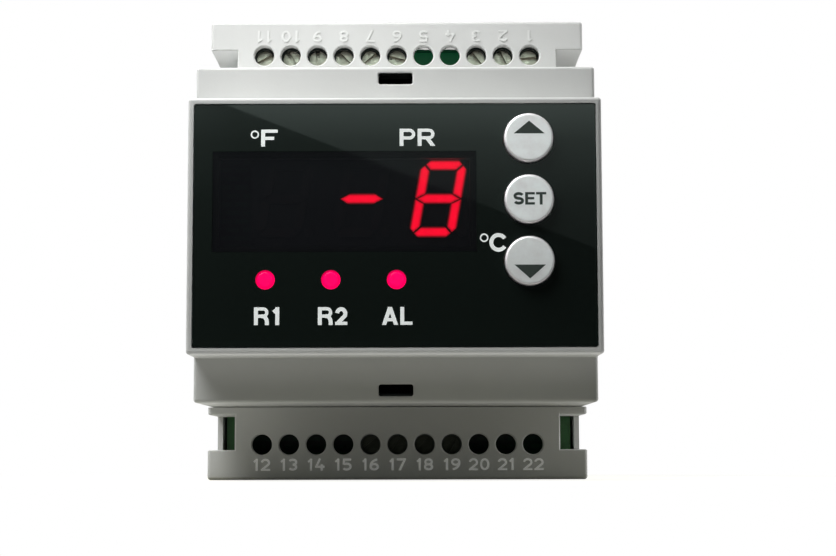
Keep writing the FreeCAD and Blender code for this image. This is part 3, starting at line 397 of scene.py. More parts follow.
def metres(lengths):
    return [length * MM for length in lengths]


def linear(colour):
    """A displayed colour as the linear colour that shaders take."""
    def one(level):
        share = level / DISPLAY_WHITE
        if share <= DISPLAY_TOE:
            return share / DISPLAY_TOE_SLOPE
        return ((share + DISPLAY_OFFSET) / (1 + DISPLAY_OFFSET)) ** DISPLAY_POWER
    return (*(one(level) for level in colour), 1.0)


def shade(colour, factor):
    return tuple(min(1.0, channel * factor) for channel in colour[:3]) + (1.0,)


# Node helpers


def new_material(name):
    made = bpy.data.materials.new(name)
    made.use_nodes = True
    return made, made.node_tree, made.node_tree.nodes["Principled BSDF"]


def add_node(tree, kind, **sockets):
    node = tree.nodes.new(kind)
    for name, content in sockets.items():
        node.inputs[name.replace("_", " ")].default_value = content
    return node


def feed(tree, node, operands):
    """Gives a node its inputs in turn, each a socket to link or a plain value."""
    for socket, operand in zip(node.inputs, operands):
        if isinstance(operand, bpy.types.NodeSocket):
            tree.links.new(operand, socket)
        else:
            socket.default_value = operand


def math_node(tree, operation, *operands):
    node = tree.nodes.new("ShaderNodeMath")
    node.operation = operation
    feed(tree, node, operands)
    return node.outputs["Value"]


def vector_node(tree, operation, output, *operands):
    node = tree.nodes.new("ShaderNodeVectorMath")
    node.operation = operation
    feed(tree, node, operands)
    return node.outputs[output]


def object_coordinates(tree):
    return tree.nodes.new("ShaderNodeTexCoord").outputs["Object"]


def axes(tree, vector):
    """A vector's three parts, as sockets X, Y and Z."""
    split = tree.nodes.new("ShaderNodeSeparateXYZ")
    tree.links.new(vector, split.inputs["Vector"])
    return split.outputs


def noise(tree, size, detail=NOISE_DETAIL, roughness=NOISE_ROUGHNESS, stretch=None):
    """Noise whose features are about that size across."""
    scale = 1 / (size * MM)
    node = add_node(tree, "ShaderNodeTexNoise", Scale=scale, Detail=detail, Roughness=roughness)
    source = object_coordinates(tree)
    if stretch:
        mapping = add_node(tree, "ShaderNodeMapping", Scale=stretch)
        tree.links.new(source, mapping.inputs["Vector"])
        source = mapping.outputs["Vector"]
    tree.links.new(source, node.inputs["Vector"])
    return node.outputs["Fac"]


def ranged(tree, source, low, high, span=NOISE_SPAN):
    """A number that goes from low to high while its source crosses a span."""
    start, end = span
    node = add_node(tree, "ShaderNodeMapRange", From_Min=start, From_Max=end, To_Min=low, To_Max=high)
    tree.links.new(source, node.inputs["Value"])
    return node.outputs["Result"]


def ramp(tree, source, stops):
    """A colour ramp with these (place, colour) stops."""
    node = tree.nodes.new("ShaderNodeValToRGB")
    elements = node.color_ramp.elements
    while len(elements) < len(stops):
        elements.new(RAMP_MIDDLE)
    for element, (place, colour) in zip(elements, stops):
        element.position = place
        element.color = colour
    tree.links.new(source, node.inputs["Fac"])
    return node.outputs["Color"]


def clouded(tree, source, colour, clouds):
    """A colour whose shade follows a noise."""
    return ramp(tree, source, [(level, shade(colour, factor)) for level, factor in clouds])


def blended(tree, amount, first, second):
    """One colour turning into another by an amount of 0 to 1."""
    mix = tree.nodes.new("ShaderNodeMix")
    mix.data_type = "RGBA"
    tree.links.new(amount, mix.inputs["Factor"])
    tree.links.new(first, mix.inputs[MIX_FIRST])
    mix.inputs[MIX_SECOND].default_value = second
    return mix.outputs[MIX_RESULT]


def vary(tree, bsdf, socket, usual, source):
    """Gives a shader's socket its usual value and links what varies it."""
    bsdf.inputs[socket].default_value = usual
    tree.links.new(source, bsdf.inputs[socket])


def bump(tree, bsdf, *layers):
    """Chains bumps onto the shader's normal, each a height, a depth and a strength."""
    before = None
    for height, depth, strength in layers:
        node = add_node(tree, "ShaderNodeBump", Strength=strength, Distance=depth * MM)
        tree.links.new(height, node.inputs["Height"])
        if before:
            tree.links.new(before.outputs["Normal"], node.inputs["Normal"])
        before = node
    tree.links.new(before.outputs["Normal"], bsdf.inputs["Normal"])


def layer(tree, relief, detail=NOISE_DETAIL):
    """A bump's layer from a noise."""
    size, depth, strength = relief
    return noise(tree, size, detail=detail), depth, strength


def inside_room(tree, middle, half, mirrored):
    """1 inside a box and 0 elsewhere; a mirrored box is there on both sides of each middle plane."""
    place = object_coordinates(tree)
    if mirrored:
        place = vector_node(tree, "ABSOLUTE", "Vector", place)
    offset = vector_node(tree, "SUBTRACT", "Vector", place, metres(middle))
    away = axes(tree, vector_node(tree, "ABSOLUTE", "Vector", offset))
    inside = None
    for axis, size in zip("XYZ", half):
        within = math_node(tree, "LESS_THAN", away[axis], size * MM)
        inside = math_node(tree, "MULTIPLY", inside, within) if inside else within
    return inside


# Materials


def specked(tree, tint, colour):
    """The housing's tint with a few dark specks, painted shade in its slots and window opening, and
    painted light in its upper left notch.
    """
    spots = add_node(tree, "ShaderNodeTexVoronoi", Scale=1 / (SPECK_SPACING * MM), Randomness=1.0)
    tree.links.new(object_coordinates(tree), spots.inputs["Vector"])
    near = ranged(tree, spots.outputs["Distance"], 1.0, 0.0, SPECK_EDGE)
    patchy = ranged(tree, noise(tree, SPECK_PATCH_SIZE), 0.0, SPECK_STRENGTH, SPECK_PATCH_SPAN)
    amount = math_node(tree, "MULTIPLY", near, patchy)
    tint = blended(tree, amount, tint, shade(colour, SPECK_SHADE))
    for *room, light_and_shade_paint in HOUSING_PAINTED_LIGHT.values():
        tint = blended(tree, inside_room(tree, *room), tint, light_and_shade_paint)
    return tint


def moulded(name, colour, roughness, specular=PLASTIC_SPECULAR, specks=False, glow=0.0):
    """Moulded plastic: slight mottling, a fine spark-eroded grain and uneven gloss; with specks it also
    gets the housing's painted shade and light, and a glow is painted light.
    """
    made, tree, bsdf = new_material(name)
    tint = clouded(tree, noise(tree, MOTTLE_SIZE, detail=MOTTLE_DETAIL), colour, MOTTLE)
    if specks:
        tint = specked(tree, tint, colour)
    vary(tree, bsdf, "Base Color", colour, tint)
    gloss = ranged(tree, noise(tree, GLOSS_SIZE), roughness - GLOSS_SPREAD, roughness + GLOSS_SPREAD)
    vary(tree, bsdf, "Roughness", roughness, gloss)
    bsdf.inputs["Specular IOR Level"].default_value = specular
    bsdf.inputs["Emission Color"].default_value = colour
    bsdf.inputs["Emission Strength"].default_value = glow
    bump(tree, bsdf, layer(tree, GRAIN_RELIEF, FINE_DETAIL), layer(tree, WAVE_RELIEF))
    return made


def metal(name, colour, roughness, scratches):
    """Plated metal with drawn scratches and duller patches."""
    made, tree, bsdf = new_material(name)
    lines = noise(tree, SCRATCH_SIZE, SCRATCH_DETAIL, SCRATCH_ROUGHNESS, scratches)
    vary(tree, bsdf, "Base Color", colour, clouded(tree, lines, colour, SCRATCH_CLOUDS))
    bsdf.inputs["Metallic"].default_value = 1.0
    low, high = (roughness + change for change in DULL_PATCHES)
    vary(tree, bsdf, "Roughness", roughness, ranged(tree, noise(tree, DULL_PATCH_SIZE), low, high))
    bump(tree, bsdf, (lines, SCRATCH_DEPTH, SCRATCH_STRENGTH))
    return made


def label_film():
    """Printed polyester sheet, black and glossy, with a faint orange peel."""
    made, tree, bsdf = new_material("label_film")
    dark = linear(LABEL_BLACK)
    flecks = noise(tree, LABEL_FLECK_SIZE, detail=LABEL_FLECK_DETAIL)
    vary(tree, bsdf, "Base Color", dark, clouded(tree, flecks, dark, LABEL_FLECKS))
    haze = ranged(tree, noise(tree, LABEL_HAZE_SIZE), *LABEL_ROUGHNESS_RANGE)
    vary(tree, bsdf, "Roughness", LABEL_ROUGHNESS, haze)
    bsdf.inputs["Specular IOR Level"].default_value = LABEL_SPECULAR
    bump(tree, bsdf, layer(tree, LABEL_RELIEF))
    return made


def smoked_window():
    """Dark acrylic pane through which the lit bars show."""
    made, tree, bsdf = new_material("smoked_window")
    dark = linear(PANE_COLOUR)
    vary(tree, bsdf, "Base Color", dark, clouded(tree, noise(tree, PANE_CLOUD_SIZE), dark, PANE_CLOUDS))
    bsdf.inputs["Roughness"].default_value = PANE_ROUGHNESS
    bsdf.inputs["Specular IOR Level"].default_value = PANE_SPECULAR
    bsdf.inputs["Alpha"].default_value = PANE_COVER
    return made


def glowing(name, colour, roughness, light, strength):
    """A material that gives light; what varies the light is linked by the caller."""
    made, tree, bsdf = new_material(name)
    bsdf.inputs["Base Color"].default_value = linear(colour)
    bsdf.inputs["Roughness"].default_value = roughness
    bsdf.inputs["Emission Color"].default_value = linear(light)
    bsdf.inputs["Emission Strength"].default_value = strength
    return made, tree, bsdf


def light_ramp(tree, size, lights):
    """Light that changes between displayed colours with a soft noise."""
    stops = [(level, linear(colour)) for level, colour in lights]
    return ramp(tree, noise(tree, size, detail=FINE_DETAIL), stops)


def bar_glow():
    """Light of the lit bars, full along their middle and weaker at their edges."""
    made, tree, bsdf = glowing("bar_glow", GLOW_COLOUR, GLOW_ROUGHNESS, GLOW_LIGHT, GLOW_STRENGTH)
    share = tree.nodes.new("ShaderNodeAttribute")
    share.attribute_name = GLOW_NAME
    uneven = ranged(tree, noise(tree, BAR_NOISE_SIZE, detail=FINE_DETAIL), *GLOW_UNEVEN)
    level = math_node(tree, "MULTIPLY", share.outputs["Fac"], uneven)
    light = ramp(tree, level, ((0.0, BLACK), (1.0, linear(GLOW_FULL_LIGHT))))
    tree.links.new(light, bsdf.inputs["Emission Color"])
    return made


def lit_bars():
    """The diffused bars under their light layer."""
    made, tree, bsdf = glowing("lit_red", BAR_COLOUR, BAR_ROUGHNESS, BAR_LIGHT, BAR_STRENGTH)
    tree.links.new(light_ramp(tree, BAR_NOISE_SIZE, BAR_LIGHTS), bsdf.inputs["Emission Color"])
    return made


def lamp_lens():
    """Pink-red diffused lamp with slightly uneven light."""
    made, tree, bsdf = glowing("lamp_pink", LAMP_COLOUR, LAMP_ROUGHNESS, LAMP_LIGHT, LAMP_STRENGTH)
    tree.links.new(light_ramp(tree, LAMP_NOISE_SIZE, LAMP_LIGHTS), bsdf.inputs["Emission Color"])
    bsdf.inputs["Specular IOR Level"].default_value = LAMP_SPECULAR
    return made


def silver_key():
    """Silver-painted plastic with fine flake and an uneven sheen, and painted shade that darkens the
    lower key.
    """
    made, tree, bsdf = new_material("key_silver")
    pale = linear(KEY_COLOUR)
    cloud = noise(tree, KEY_CLOUD_SIZE, KEY_CLOUD_DETAIL, KEY_CLOUD_ROUGHNESS)
    tint = clouded(tree, cloud, pale, KEY_CLOUDS)
    height = axes(tree, object_coordinates(tree))["Z"]
    # painted shade: the keys get darker towards the bottom
    painted_shade = ranged(tree, height, KEY_SHADE_SHARE, 0.0, metres(KEY_SHADE_Z))
    vary(tree, bsdf, "Base Color", pale, blended(tree, painted_shade, tint, shade(pale, KEY_SHADE_LEVEL)))
    bsdf.inputs["Metallic"].default_value = KEY_METAL
    flake = ranged(tree, noise(tree, KEY_FLAKE_SIZE), *KEY_ROUGHNESS_RANGE)
    vary(tree, bsdf, "Roughness", KEY_ROUGHNESS, flake)
    bump(tree, bsdf, layer(tree, KEY_FLAKE_RELIEF, FINE_DETAIL), layer(tree, KEY_WAVE_RELIEF))
    return made


def printed(name, ink, glow=0.0, specular=INK_SPECULAR):
    """Screen-printed ink with slightly uneven cover; a bright ink also gets a little painted glow."""
    made, tree, bsdf = new_material(name)
    colour = linear(ink)
    cover = noise(tree, INK_CLOUD_SIZE, detail=INK_CLOUD_DETAIL)
    vary(tree, bsdf, "Base Color", colour, clouded(tree, cover, colour, INK_CLOUDS))
    bsdf.inputs["Roughness"].default_value = INK_ROUGHNESS
    bsdf.inputs["Specular IOR Level"].default_value = specular
    bsdf.inputs["Emission Color"].default_value = colour
    bsdf.inputs["Emission Strength"].default_value = glow
    bump(tree, bsdf, layer(tree, INK_RELIEF))
    return made


def margin(tree, distance, edge):
    """1 past a board's edge line and 0 before it."""
    return ranged(tree, distance, 0.0, 1.0, metres((edge - MARGIN_BLUR, edge + MARGIN_BLUR)))


def solder_resist():
    """Green circuit board: traces show as raised lines; its margins are paler copper, which is also
    painted light where the board shows through the openings, and the top margin has a painted glow.
    """
    made, tree, bsdf = new_material("board_green")
    traces = add_node(tree, "ShaderNodeTexBrick", Scale=1 / (BRICK_SIZE * MM), Mortar_Size=BRICK_MORTAR)
    for socket, colour in BOARD_BRICKS.items():
        traces.inputs[socket].default_value = linear(colour)
    mapping = add_node(tree, "ShaderNodeMapping", Rotation=(math.radians(BRICK_TURN), 0, 0))
    tree.links.new(object_coordinates(tree), mapping.inputs["Vector"])
    tree.links.new(mapping.outputs["Vector"], traces.inputs["Vector"])
    place = axes(tree, object_coordinates(tree))
    beside = margin(tree, math_node(tree, "ABSOLUTE", place["X"]), MARGIN_X)
    above = margin(tree, place["Z"], MARGIN_Z)
    # margins that are paler copper and also painted light
    poured_and_lit = math_node(tree, "MAXIMUM", beside, above)
    pour_and_light = blended(tree, poured_and_lit, traces.outputs["Color"], BOARD_POUR_AND_LIGHT)
    vary(tree, bsdf, "Base Color", linear(BOARD_COLOUR), pour_and_light)
    # painted glow along the top margin
    painted_glow = ramp(tree, above, ((0.0, BLACK), (1.0, BOARD_PAINTED_GLOW)))
    tree.links.new(painted_glow, bsdf.inputs["Emission Color"])
    bsdf.inputs["Emission Strength"].default_value = 1.0
    gloss = ranged(tree, noise(tree, BOARD_GLOSS_SIZE), *BOARD_ROUGHNESS_RANGE)
    vary(tree, bsdf, "Roughness", BOARD_ROUGHNESS, gloss)
    bump(tree, bsdf, (traces.outputs["Fac"], BRICK_DEPTH, BRICK_STRENGTH))
    return made


def paint(solid, material):
    solid.data.materials.clear()
    solid.data.materials.append(material)


# Outlines of letters and figures, each a list of four-cornered patches in a box one cap height tall
# A letter has a width w and strokes of half width h, and its other measures are shares of the cap height


def bar(x_low, y_low, x_high, y_high):
    return [[(x_low, y_low), (x_high, y_low), (x_high, y_high), (x_low, y_high)]]


def slant(x_low, y_low, x_high, y_high, half):
    """A straight stroke with level ends."""
    run = x_high - x_low
    rise = y_high - y_low
    reach = half * math.hypot(run, rise) / abs(rise)
    lower_end = [(x_low - reach, y_low), (x_low + reach, y_low)]
    upper_end = [(x_high + reach, y_high), (x_high - reach, y_high)]
    return [lower_end + upper_end]


def arc(x, y, radius_x, radius_y, start, end, steps=BEND_STEPS):
    angles = [math.radians(start + (end - start) * i / steps) for i in range(steps + 1)]
    return [(x + radius_x * math.cos(a), y + radius_y * math.sin(a)) for a in angles]


def ring(x, y, radius_x, radius_y, steps=TURN_STEPS):
    return arc(x, y, radius_x, radius_y, 0, 360, steps)


def ribbon(points, half):
    """A stroke of even width along a line of points."""
    rails = []
    last = len(points) - 1
    closed = math.dist(points[0], points[last]) < SAME_POINT
    for i, (x, y) in enumerate(points):
        before = points[i - 1] if i else (points[last - 1] if closed else points[0])
        after = points[i + 1] if i < last else (points[1] if closed else points[last])
        first = Vector((x - before[0], y - before[1]))
        second = Vector((after[0] - x, after[1] - y))
        if first.length < NO_LENGTH:
            first = second
        if second.length < NO_LENGTH:
            second = first
        first.normalize()
        second.normalize()
        along = (first + second).normalized()
        side = Vector((-along.y, along.x))
        mitre = half / max(MITRE_LEAST, side.dot(Vector((-first.y, first.x))))
        step_x = side.x * mitre
        step_y = side.y * mitre
        rails.append(((x + step_x, y + step_y), (x - step_x, y - step_y)))
    return [[a[0], a[1], b[1], b[0]] for a, b in zip(rails, rails[1:])]


def bowl(w, h, low, high, left):
    """A rounded bowl between two levels, closed to the left by whatever stands there."""
    roundness = 1.05
    radius_y = (high - low) / 2
    radius_x = min(radius_y * roundness, w - h - left)
    middle = (high + low) / 2
    turn = arc(w - h - radius_x, middle, radius_x, radius_y, 90, -90)
    return ribbon([(left, high), *turn, (left, low)], h)


def straight_letter(kind, w, h):
    """A letter of straight strokes."""
    thin = h * THIN
    stem = bar(0, 0, 2 * h, 1)
    head = bar(0, 1 - 2 * thin, w, 1)
    foot = bar(0, 0, w, 2 * thin)
    if kind == "F":
        arm_top = 0.58
        arm_length = 0.79 * w
        return stem + head + bar(0, arm_top - 2 * thin, arm_length, arm_top)
    if kind == "E":
        arm_level = 0.51
        arm_length = 0.93 * w
        return stem + head + foot + bar(0, arm_level - thin, arm_length, arm_level + thin)
    if kind == "L":
        return stem + foot
    if kind == "T":
        return head + bar(w / 2 - h, 0, w / 2 + h, 1)
    foot_x = 1.1 * h
    rail_low = 0.2
    rail_start = 0.22 * w
    sides = slant(foot_x, 0, w / 2, 1, h) + slant(w - foot_x, 0, w / 2, 1, h)
    return sides + bar(rail_start, rail_low, w - rail_start, rail_low + 2 * thin)


def round_letter(kind, w, h):
    """A letter with a bowl or a bend; Rv is an R with an upright, curved leg."""
    thin = h * THIN
    top = 1 - thin
    stem = bar(0, 0, 2 * h, 1)
    if kind == "P":
        bowl_low = 0.37 + thin
        return stem + bowl(w, thin, bowl_low, top, h)
    if kind == "R":
        bowl_low = 0.38 + thin
        bowl_width = 0.95 * w
        leg_low = w - 1.25 * h
        leg_high = (0.52 * w, 0.4 + thin)
        return stem + bowl(bowl_width, thin, bowl_low, top, h) + slant(leg_low, 0, *leg_high, h)
    if kind == "Rv":
        bowl_low = 0.41 + thin
        bowl_width = 0.97 * w
        foot = w - h
        ease = 0.02
        shoulder = [(0.5 * w, bowl_low), (0.72 * w, bowl_low - ease)]
        leg = [(foot - ease, 0.3), (foot, 0.14), (foot, 0)]
        return stem + bowl(bowl_width, thin, bowl_low, top, h) + ribbon(shoulder + leg, h)
    if kind == "C":
        mouth = 33
        return ribbon(arc(w / 2, 0.5, w / 2 - h, 0.5 - h, mouth, 360 - mouth, TURN_STEPS), h)
    upper_turn = (22, 262)
    lower_turn = (82, -158)
    radius_y = (1 - 2 * h) / 4
    upper = arc(w / 2, 1 - h - radius_y, w / 2 - h, radius_y, *upper_turn)
    lower = arc(w / 2, h + radius_y, w / 2 - h, radius_y, *lower_turn)
    return ribbon([*upper, *lower], h)


def low_figure(kind, w, h):
    """A figure from 0 to 4."""
    top = 1 - h
    middle = w / 2
    side = w / 2 - h
    if kind == "0":
        return ribbon(ring(middle, 0.5, side, 0.5 - h), h)
    if kind == "1":
        stem = 0.62 * w
        flag = [(stem, top), (0.6 * h, 0.72)]
        flag_half = 0.92 * h
        return bar(stem - h, 0, stem + h, 1) + ribbon(flag, flag_half)
    if kind == "2":
        radius_y = 0.26
        bend_turn = (172, -28)
        heel = (1.5 * h, 1.2 * h)
        bend = arc(middle, top - radius_y, side, radius_y, *bend_turn)
        return ribbon([*bend, heel], h) + bar(0, 0, w, 2 * h * THIN)
    if kind == "3":
        reach = 150
        radius_y = (1 - 2 * h) / 4
        upper = arc(middle, top - radius_y, side, radius_y, reach, -90)
        lower = arc(middle, h + radius_y, side, radius_y, 90, -reach)
        return ribbon(upper, h) + ribbon(lower, h)
    stem = 0.7 * w
    stem_top = 0.52
    rail_low = 0.24
    tip = (0.52 * w, 1)
    rail = bar(0, rail_low, w, rail_low + 2 * h)
    return rail + bar(stem - h, 0, stem + h, stem_top) + ribbon([(h, rail_low + h), tip], h)


def high_figure(kind, w, h):
    """A figure from 5 to 9."""
    top = 1 - h
    middle = w / 2
    side = w / 2 - h
    if kind == "5":
        wider = 0.4 * h
        bend_middle = 0.33
        bend_turn = (128, -140)
        bend = arc(middle - wider, bend_middle, side + wider, bend_middle - h, *bend_turn)
        head_start = 0.14 * w
        head_end = 0.95 * w
        neck_low = (1.2 * h, 0.5)
        neck_high = (0.2 * w, 1)
        head = bar(head_start, 1 - 2 * h, head_end, 1)
        return head + slant(*neck_low, *neck_high, h) + ribbon(bend, h)
    if kind == "6":
        loop_middle = 0.31
        loop_steps = 28
        sweep_middle = (0.95 * w, 0.36)
        sweep_turn = (180, 98)
        sweep_steps = 14
        loop = ring(middle, loop_middle, side, loop_middle - h, loop_steps)
        radii = (sweep_middle[0] - h, top - sweep_middle[1])
        sweep = arc(*sweep_middle, *radii, *sweep_turn, sweep_steps)
        return ribbon(loop, h) + ribbon(sweep, h)
    if kind == "7":
        leg_low = 0.3 * w
        leg_high = w - 1.1 * h
        return bar(0, 1 - 2 * h, w, 1) + slant(leg_low, 0, leg_high, top, h)
    if kind == "8":
        upper_share = 0.9
        loop_steps = 24
        radius_y = (1 - 2 * h) / 4
        upper = ring(middle, top - radius_y, side * upper_share, radius_y, loop_steps)
        lower = ring(middle, h + radius_y, side, radius_y, loop_steps)
        return ribbon(upper, h) + ribbon(lower, h)
    turned = high_figure("6", w, h)
    return [[(w - x, 1 - y) for x, y in patch] for patch in turned]


def glyph(kind, w, h):
    """Patches of one letter or figure of width w, with strokes of half width h."""
    if kind in STRAIGHT_LETTERS:
        return straight_letter(kind, w, h)
    if kind in ROUND_LETTERS:
        return round_letter(kind, w, h)
    if kind in LOW_FIGURES:
        return low_figure(kind, w, h)
    return high_figure(kind, w, h)


def word(corner, size, letters, gap, stroke):
    """One group of patches for each letter of a row, in millimetres."""
    x, z = corner
    groups = []
    for kind, width in letters:
        patches = glyph(kind, width / size, stroke / size / 2)
        groups.append([[(x + px * size, z + pz * size) for px, pz in patch] for patch in patches])
        x += width + gap
    return groups


def terminal_figures(numbers, middle, z, turned):
    """Numbers over a row of holes; the upper row reads from above, so it is turned half round."""
    groups = []
    gap = UPPER_FIGURE_GAP if turned else FIGURE_GAP
    flip = -1 if turned else 1
    for number in numbers:
        text = str(number)
        widths = [FIGURE_WIDTH * (ONE_WIDTH if digit == "1" else 1.0) for digit in text]
        total = sum(widths) + gap * (len(text) - 1)
        start = (-total / 2, -FIGURE_SIZE / 2)
        letters = list(zip(text, widths))
        x = flip * (number - middle) * PITCH
        for patches in word(start, FIGURE_SIZE, letters, gap, FIGURE_STROKE):
            groups.append([[(x + flip * px, z + flip * pz) for px, pz in patch] for patch in patches])
    return groups


def label_words():
    groups = []
    for corner, size, letters, gap in LABEL_WORDS:
        groups += word(corner, size, letters, gap, LABEL_STROKE)
    for x, z, width in DEGREE_RINGS:
        radius = (width - DEGREE_STROKE) / 2
        circle = ring(x + width / 2, z + width / 2, radius, radius, DEGREE_STEPS)
        groups.append(ribbon(circle, DEGREE_STROKE / 2))
    return groups


def triangle(corners):
    return [[[(KEY_X + x, z) for x, z in corners]]]


def window_mask(low, high):
    """The narrow border printed on the back of the pane, over the ledge that it sits on."""
    left = bar(low.x, low.z, low.x + MASK_BORDER, high.z)
    right = bar(high.x - MASK_BORDER, low.z, high.x, high.z)
    lower = bar(low.x, low.z, high.x, low.z + MASK_BORDER)
    upper = bar(low.x, high.z - MASK_BORDER, high.x, high.z)
    return [left + right + lower + upper]


# Pieces


def anticlockwise(patch):
    area = sum(a[0] * b[1] - b[0] * a[1] for a, b in zip(patch, patch[1:] + patch[:1]))
    return patch if area > 0 else patch[::-1]


def joined(groups):
    """Points and triangles of all the groups, each group's patches merged into one outline."""
    points = []
    triangles = []
    for patches in groups:
        corners = []
        faces = []
        for patch in patches:
            faces.append(list(range(len(corners), len(corners) + len(patch))))
            corners += [Vector(p) for p in anticlockwise(patch)]
        found = delaunay_2d_cdt(corners, [], faces, 0, MERGE_DISTANCE)
        first = len(points)
        points += found[0]
        triangles += [[first + i for i in tri] for tri, owners in zip(found[2], found[5]) if owners]
    return points, triangles


def new_piece(name, corners, faces, material):
    mesh = bpy.data.meshes.new(name)
    mesh.from_pydata(corners, [], faces)
    mesh.validate()
    mesh.materials.append(material)
    piece = bpy.data.objects.new(name, mesh)
    bpy.context.scene.collection.objects.link(piece)
    return piece


def raised(name, groups, face_y, height, material, body):
    """Outlines stood up as a thin piece on a face that looks towards the user."""
    points, triangles = joined(groups)
    count = len(points)
    corners = [metres((p.x, face_y - height, p.y)) for p in points]
    corners += [metres((p.x, face_y + SINK, p.y)) for p in points]
    sides = {}
    faces = []
    for a, b, c in triangles:
        turn = (points[b] - points[a]).cross(points[c] - points[a])
        ordered = [a, b, c] if turn > 0 else [a, c, b]
        faces.append(ordered)
        faces.append([i + count for i in reversed(ordered)])
        sides.update(dict.fromkeys(zip(ordered, ordered[1:] + ordered[:1])))
    for start, end in sides:
        if (end, start) not in sides:
            faces.append([end, start, start + count, end + count])
    piece = new_piece(name, corners, faces, material)
    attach(piece, body)


def bar_outlines(bars):
    """Front outline of each lit bar as (x, z) corners, and the y of that front."""
    data = bars.data
    front = min(vertex.co.y for vertex in data.vertices)
    edges = set()
    for face in data.polygons:
        corners = [data.vertices[i].co for i in face.vertices]
        if all(corner.y - front < SAME_PLANE * MM for corner in corners):
            keys = [(round(c.x / MM, CORNER_DIGITS), round(c.z / MM, CORNER_DIGITS)) for c in corners]
            edges.update(zip(keys, keys[1:] + keys[:1]))
    after = {start: end for start, end in edges if (end, start) not in edges}
    loops = []
    while after:
        start, point = after.popitem()
        loop = [start]
        while point != start:
            loop.append(point)
            point = after.pop(point)
        loops.append(anticlockwise(loop))
    return loops, front / MM


def inset(loop, depth):
    """A closed outline moved inwards by that depth."""
    moved = []
    for i, point in enumerate(loop):
        here = Vector(point)
        first = (here - Vector(loop[i - 1])).normalized()
        second = (Vector(loop[(i + 1) % len(loop)]) - here).normalized()
        normal_one = Vector((-first.y, first.x))
        normal_two = Vector((-second.y, second.x))
        moved.append(here + (normal_one + normal_two) * (depth / (1 + normal_one.dot(normal_two))))
    return moved


def with_halo(loop):
    """Points of an outline and of a halo at its long sides, with their glow, and where each corner is."""
    outer = []
    starts = []
    for here, after in zip(loop, loop[1:] + loop[:1]):
        starts.append(len(outer))
        outer.append((Vector(here), GLOW_RINGS[0][1]))
        along = Vector(after) - Vector(here)
        if along.length > HALO_LEAST_SIDE:
            along.normalize()
            away = Vector((along.y, -along.x)) * HALO_WIDTH
            taper = along * HALO_TAPER
            outer.append((Vector(here) + away + taper, 0.0))
            outer.append((Vector(after) + away - taper, 0.0))
    return outer, starts


def segment_glow(bars, material):
    """A thin light layer on each lit bar, whose glow fades across the bar's outline."""
    corners = []
    shares = []
    faces = []
    loops, face_y = bar_outlines(bars)
    front = face_y - GLOW_LIFT
    for loop in loops:
        outer, starts = with_halo(loop)
        count = len(outer)
        first = len(corners)
        back = first + count
        corners += [metres((p.x, front, p.y)) for p, share in outer]
        corners += [metres((p.x, face_y + SINK, p.y)) for p, share in outer]
        shares += [share for p, share in outer] + [0.0] * count
        for i in range(count):
            j = (i + 1) % count
            faces.append([back + i, back + j, first + j, first + i])
        faces.append([back + i for i in reversed(range(count))])
        for i, j in zip(starts, starts[1:] + [count]):
            if j - i > 1:
                faces.append([first + k % count for k in range(i, j + 1)])
        edge = [first + i for i in starts]
        for depth, share in GLOW_RINGS[1:]:
            inner = [len(corners) + i for i in range(len(loop))]
            corners += [metres((p.x, front, p.y)) for p in inset(loop, depth)]
            shares += [share] * len(loop)
            for i in range(len(loop)):
                j = (i + 1) % len(loop)
                faces.append([edge[i], edge[j], inner[j], inner[i]])
            edge = inner
        faces.append(edge)
    piece = new_piece("segment_glow", corners, faces, material)
    glow = piece.data.attributes.new(GLOW_NAME, "FLOAT", "POINT")
    glow.data.foreach_set("value", shares)
    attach(piece, "case")


def spring_line():
    """The middle line of the spring's strip, in (x, z) points from its lower end."""
    run = (SPRING_HIGH - SPRING_LOW - SPRING_SHEET) / SPRING_FOLDS
    radius = run / 2
    reach = SPRING_HALF_WIDTH - SPRING_SHEET / 2 - radius
    start = SPRING_LOW + SPRING_SHEET / 2
    end_x = SPRING_HALF_WIDTH - SPRING_END_SHORTER
    points = [(-end_x, start)]
    for fold in range(SPRING_FOLDS):
        side = 1 if fold % 2 == 0 else -1
        middle = start + run * (fold + 0.5)
        bend = arc(reach, middle, radius, radius, -90, 90, SPRING_BEND_STEPS)
        points += [(side * x, z) for x, z in bend]
    points.append((end_x if SPRING_FOLDS % 2 == 0 else -end_x, start + run * SPRING_FOLDS))
    return points


def folded_spring(material):
    """A flat strip folded into runs with round bends."""
    strips = ribbon(spring_line(), SPRING_SHEET / 2)
    rails = [(quad[0], quad[1]) for quad in strips] + [(strips[-1][3], strips[-1][2])]
    corners = []
    for left, right in rails:
        for y in SPRING_Y:
            corners.append(metres((left[0], y, left[1])))
            corners.append(metres((right[0], y, right[1])))
    faces = []
    around = 4
    last = len(corners) - around
    for a in range(0, last, around):
        b = a + around
        faces.append([a, a + 1, b + 1, b])
        faces.append([a + 2, b + 2, b + 3, a + 3])
        faces.append([a, b, b + 2, a + 2])
        faces.append([a + 1, a + 3, b + 3, b + 1])
    faces.append([0, 2, 3, 1])
    faces.append([last, last + 1, last + 3, last + 2])
    piece = new_piece("folded_spring", corners, faces, material)
    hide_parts("clip_spring")
    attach(piece, "case")
    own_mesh(piece)


# Stage


def seen_share(tree, mirrored):
    """1 for rays from the camera and through glass, the mirrored share for mirrors, 0 for the rest."""
    path = tree.nodes.new("ShaderNodeLightPath").outputs
    gloss = math_node(tree, "MULTIPLY", path["Is Glossy Ray"], mirrored)
    direct = math_node(tree, "MAXIMUM", path["Is Camera Ray"], path["Is Transmission Ray"])
    return math_node(tree, "MAXIMUM", direct, gloss)


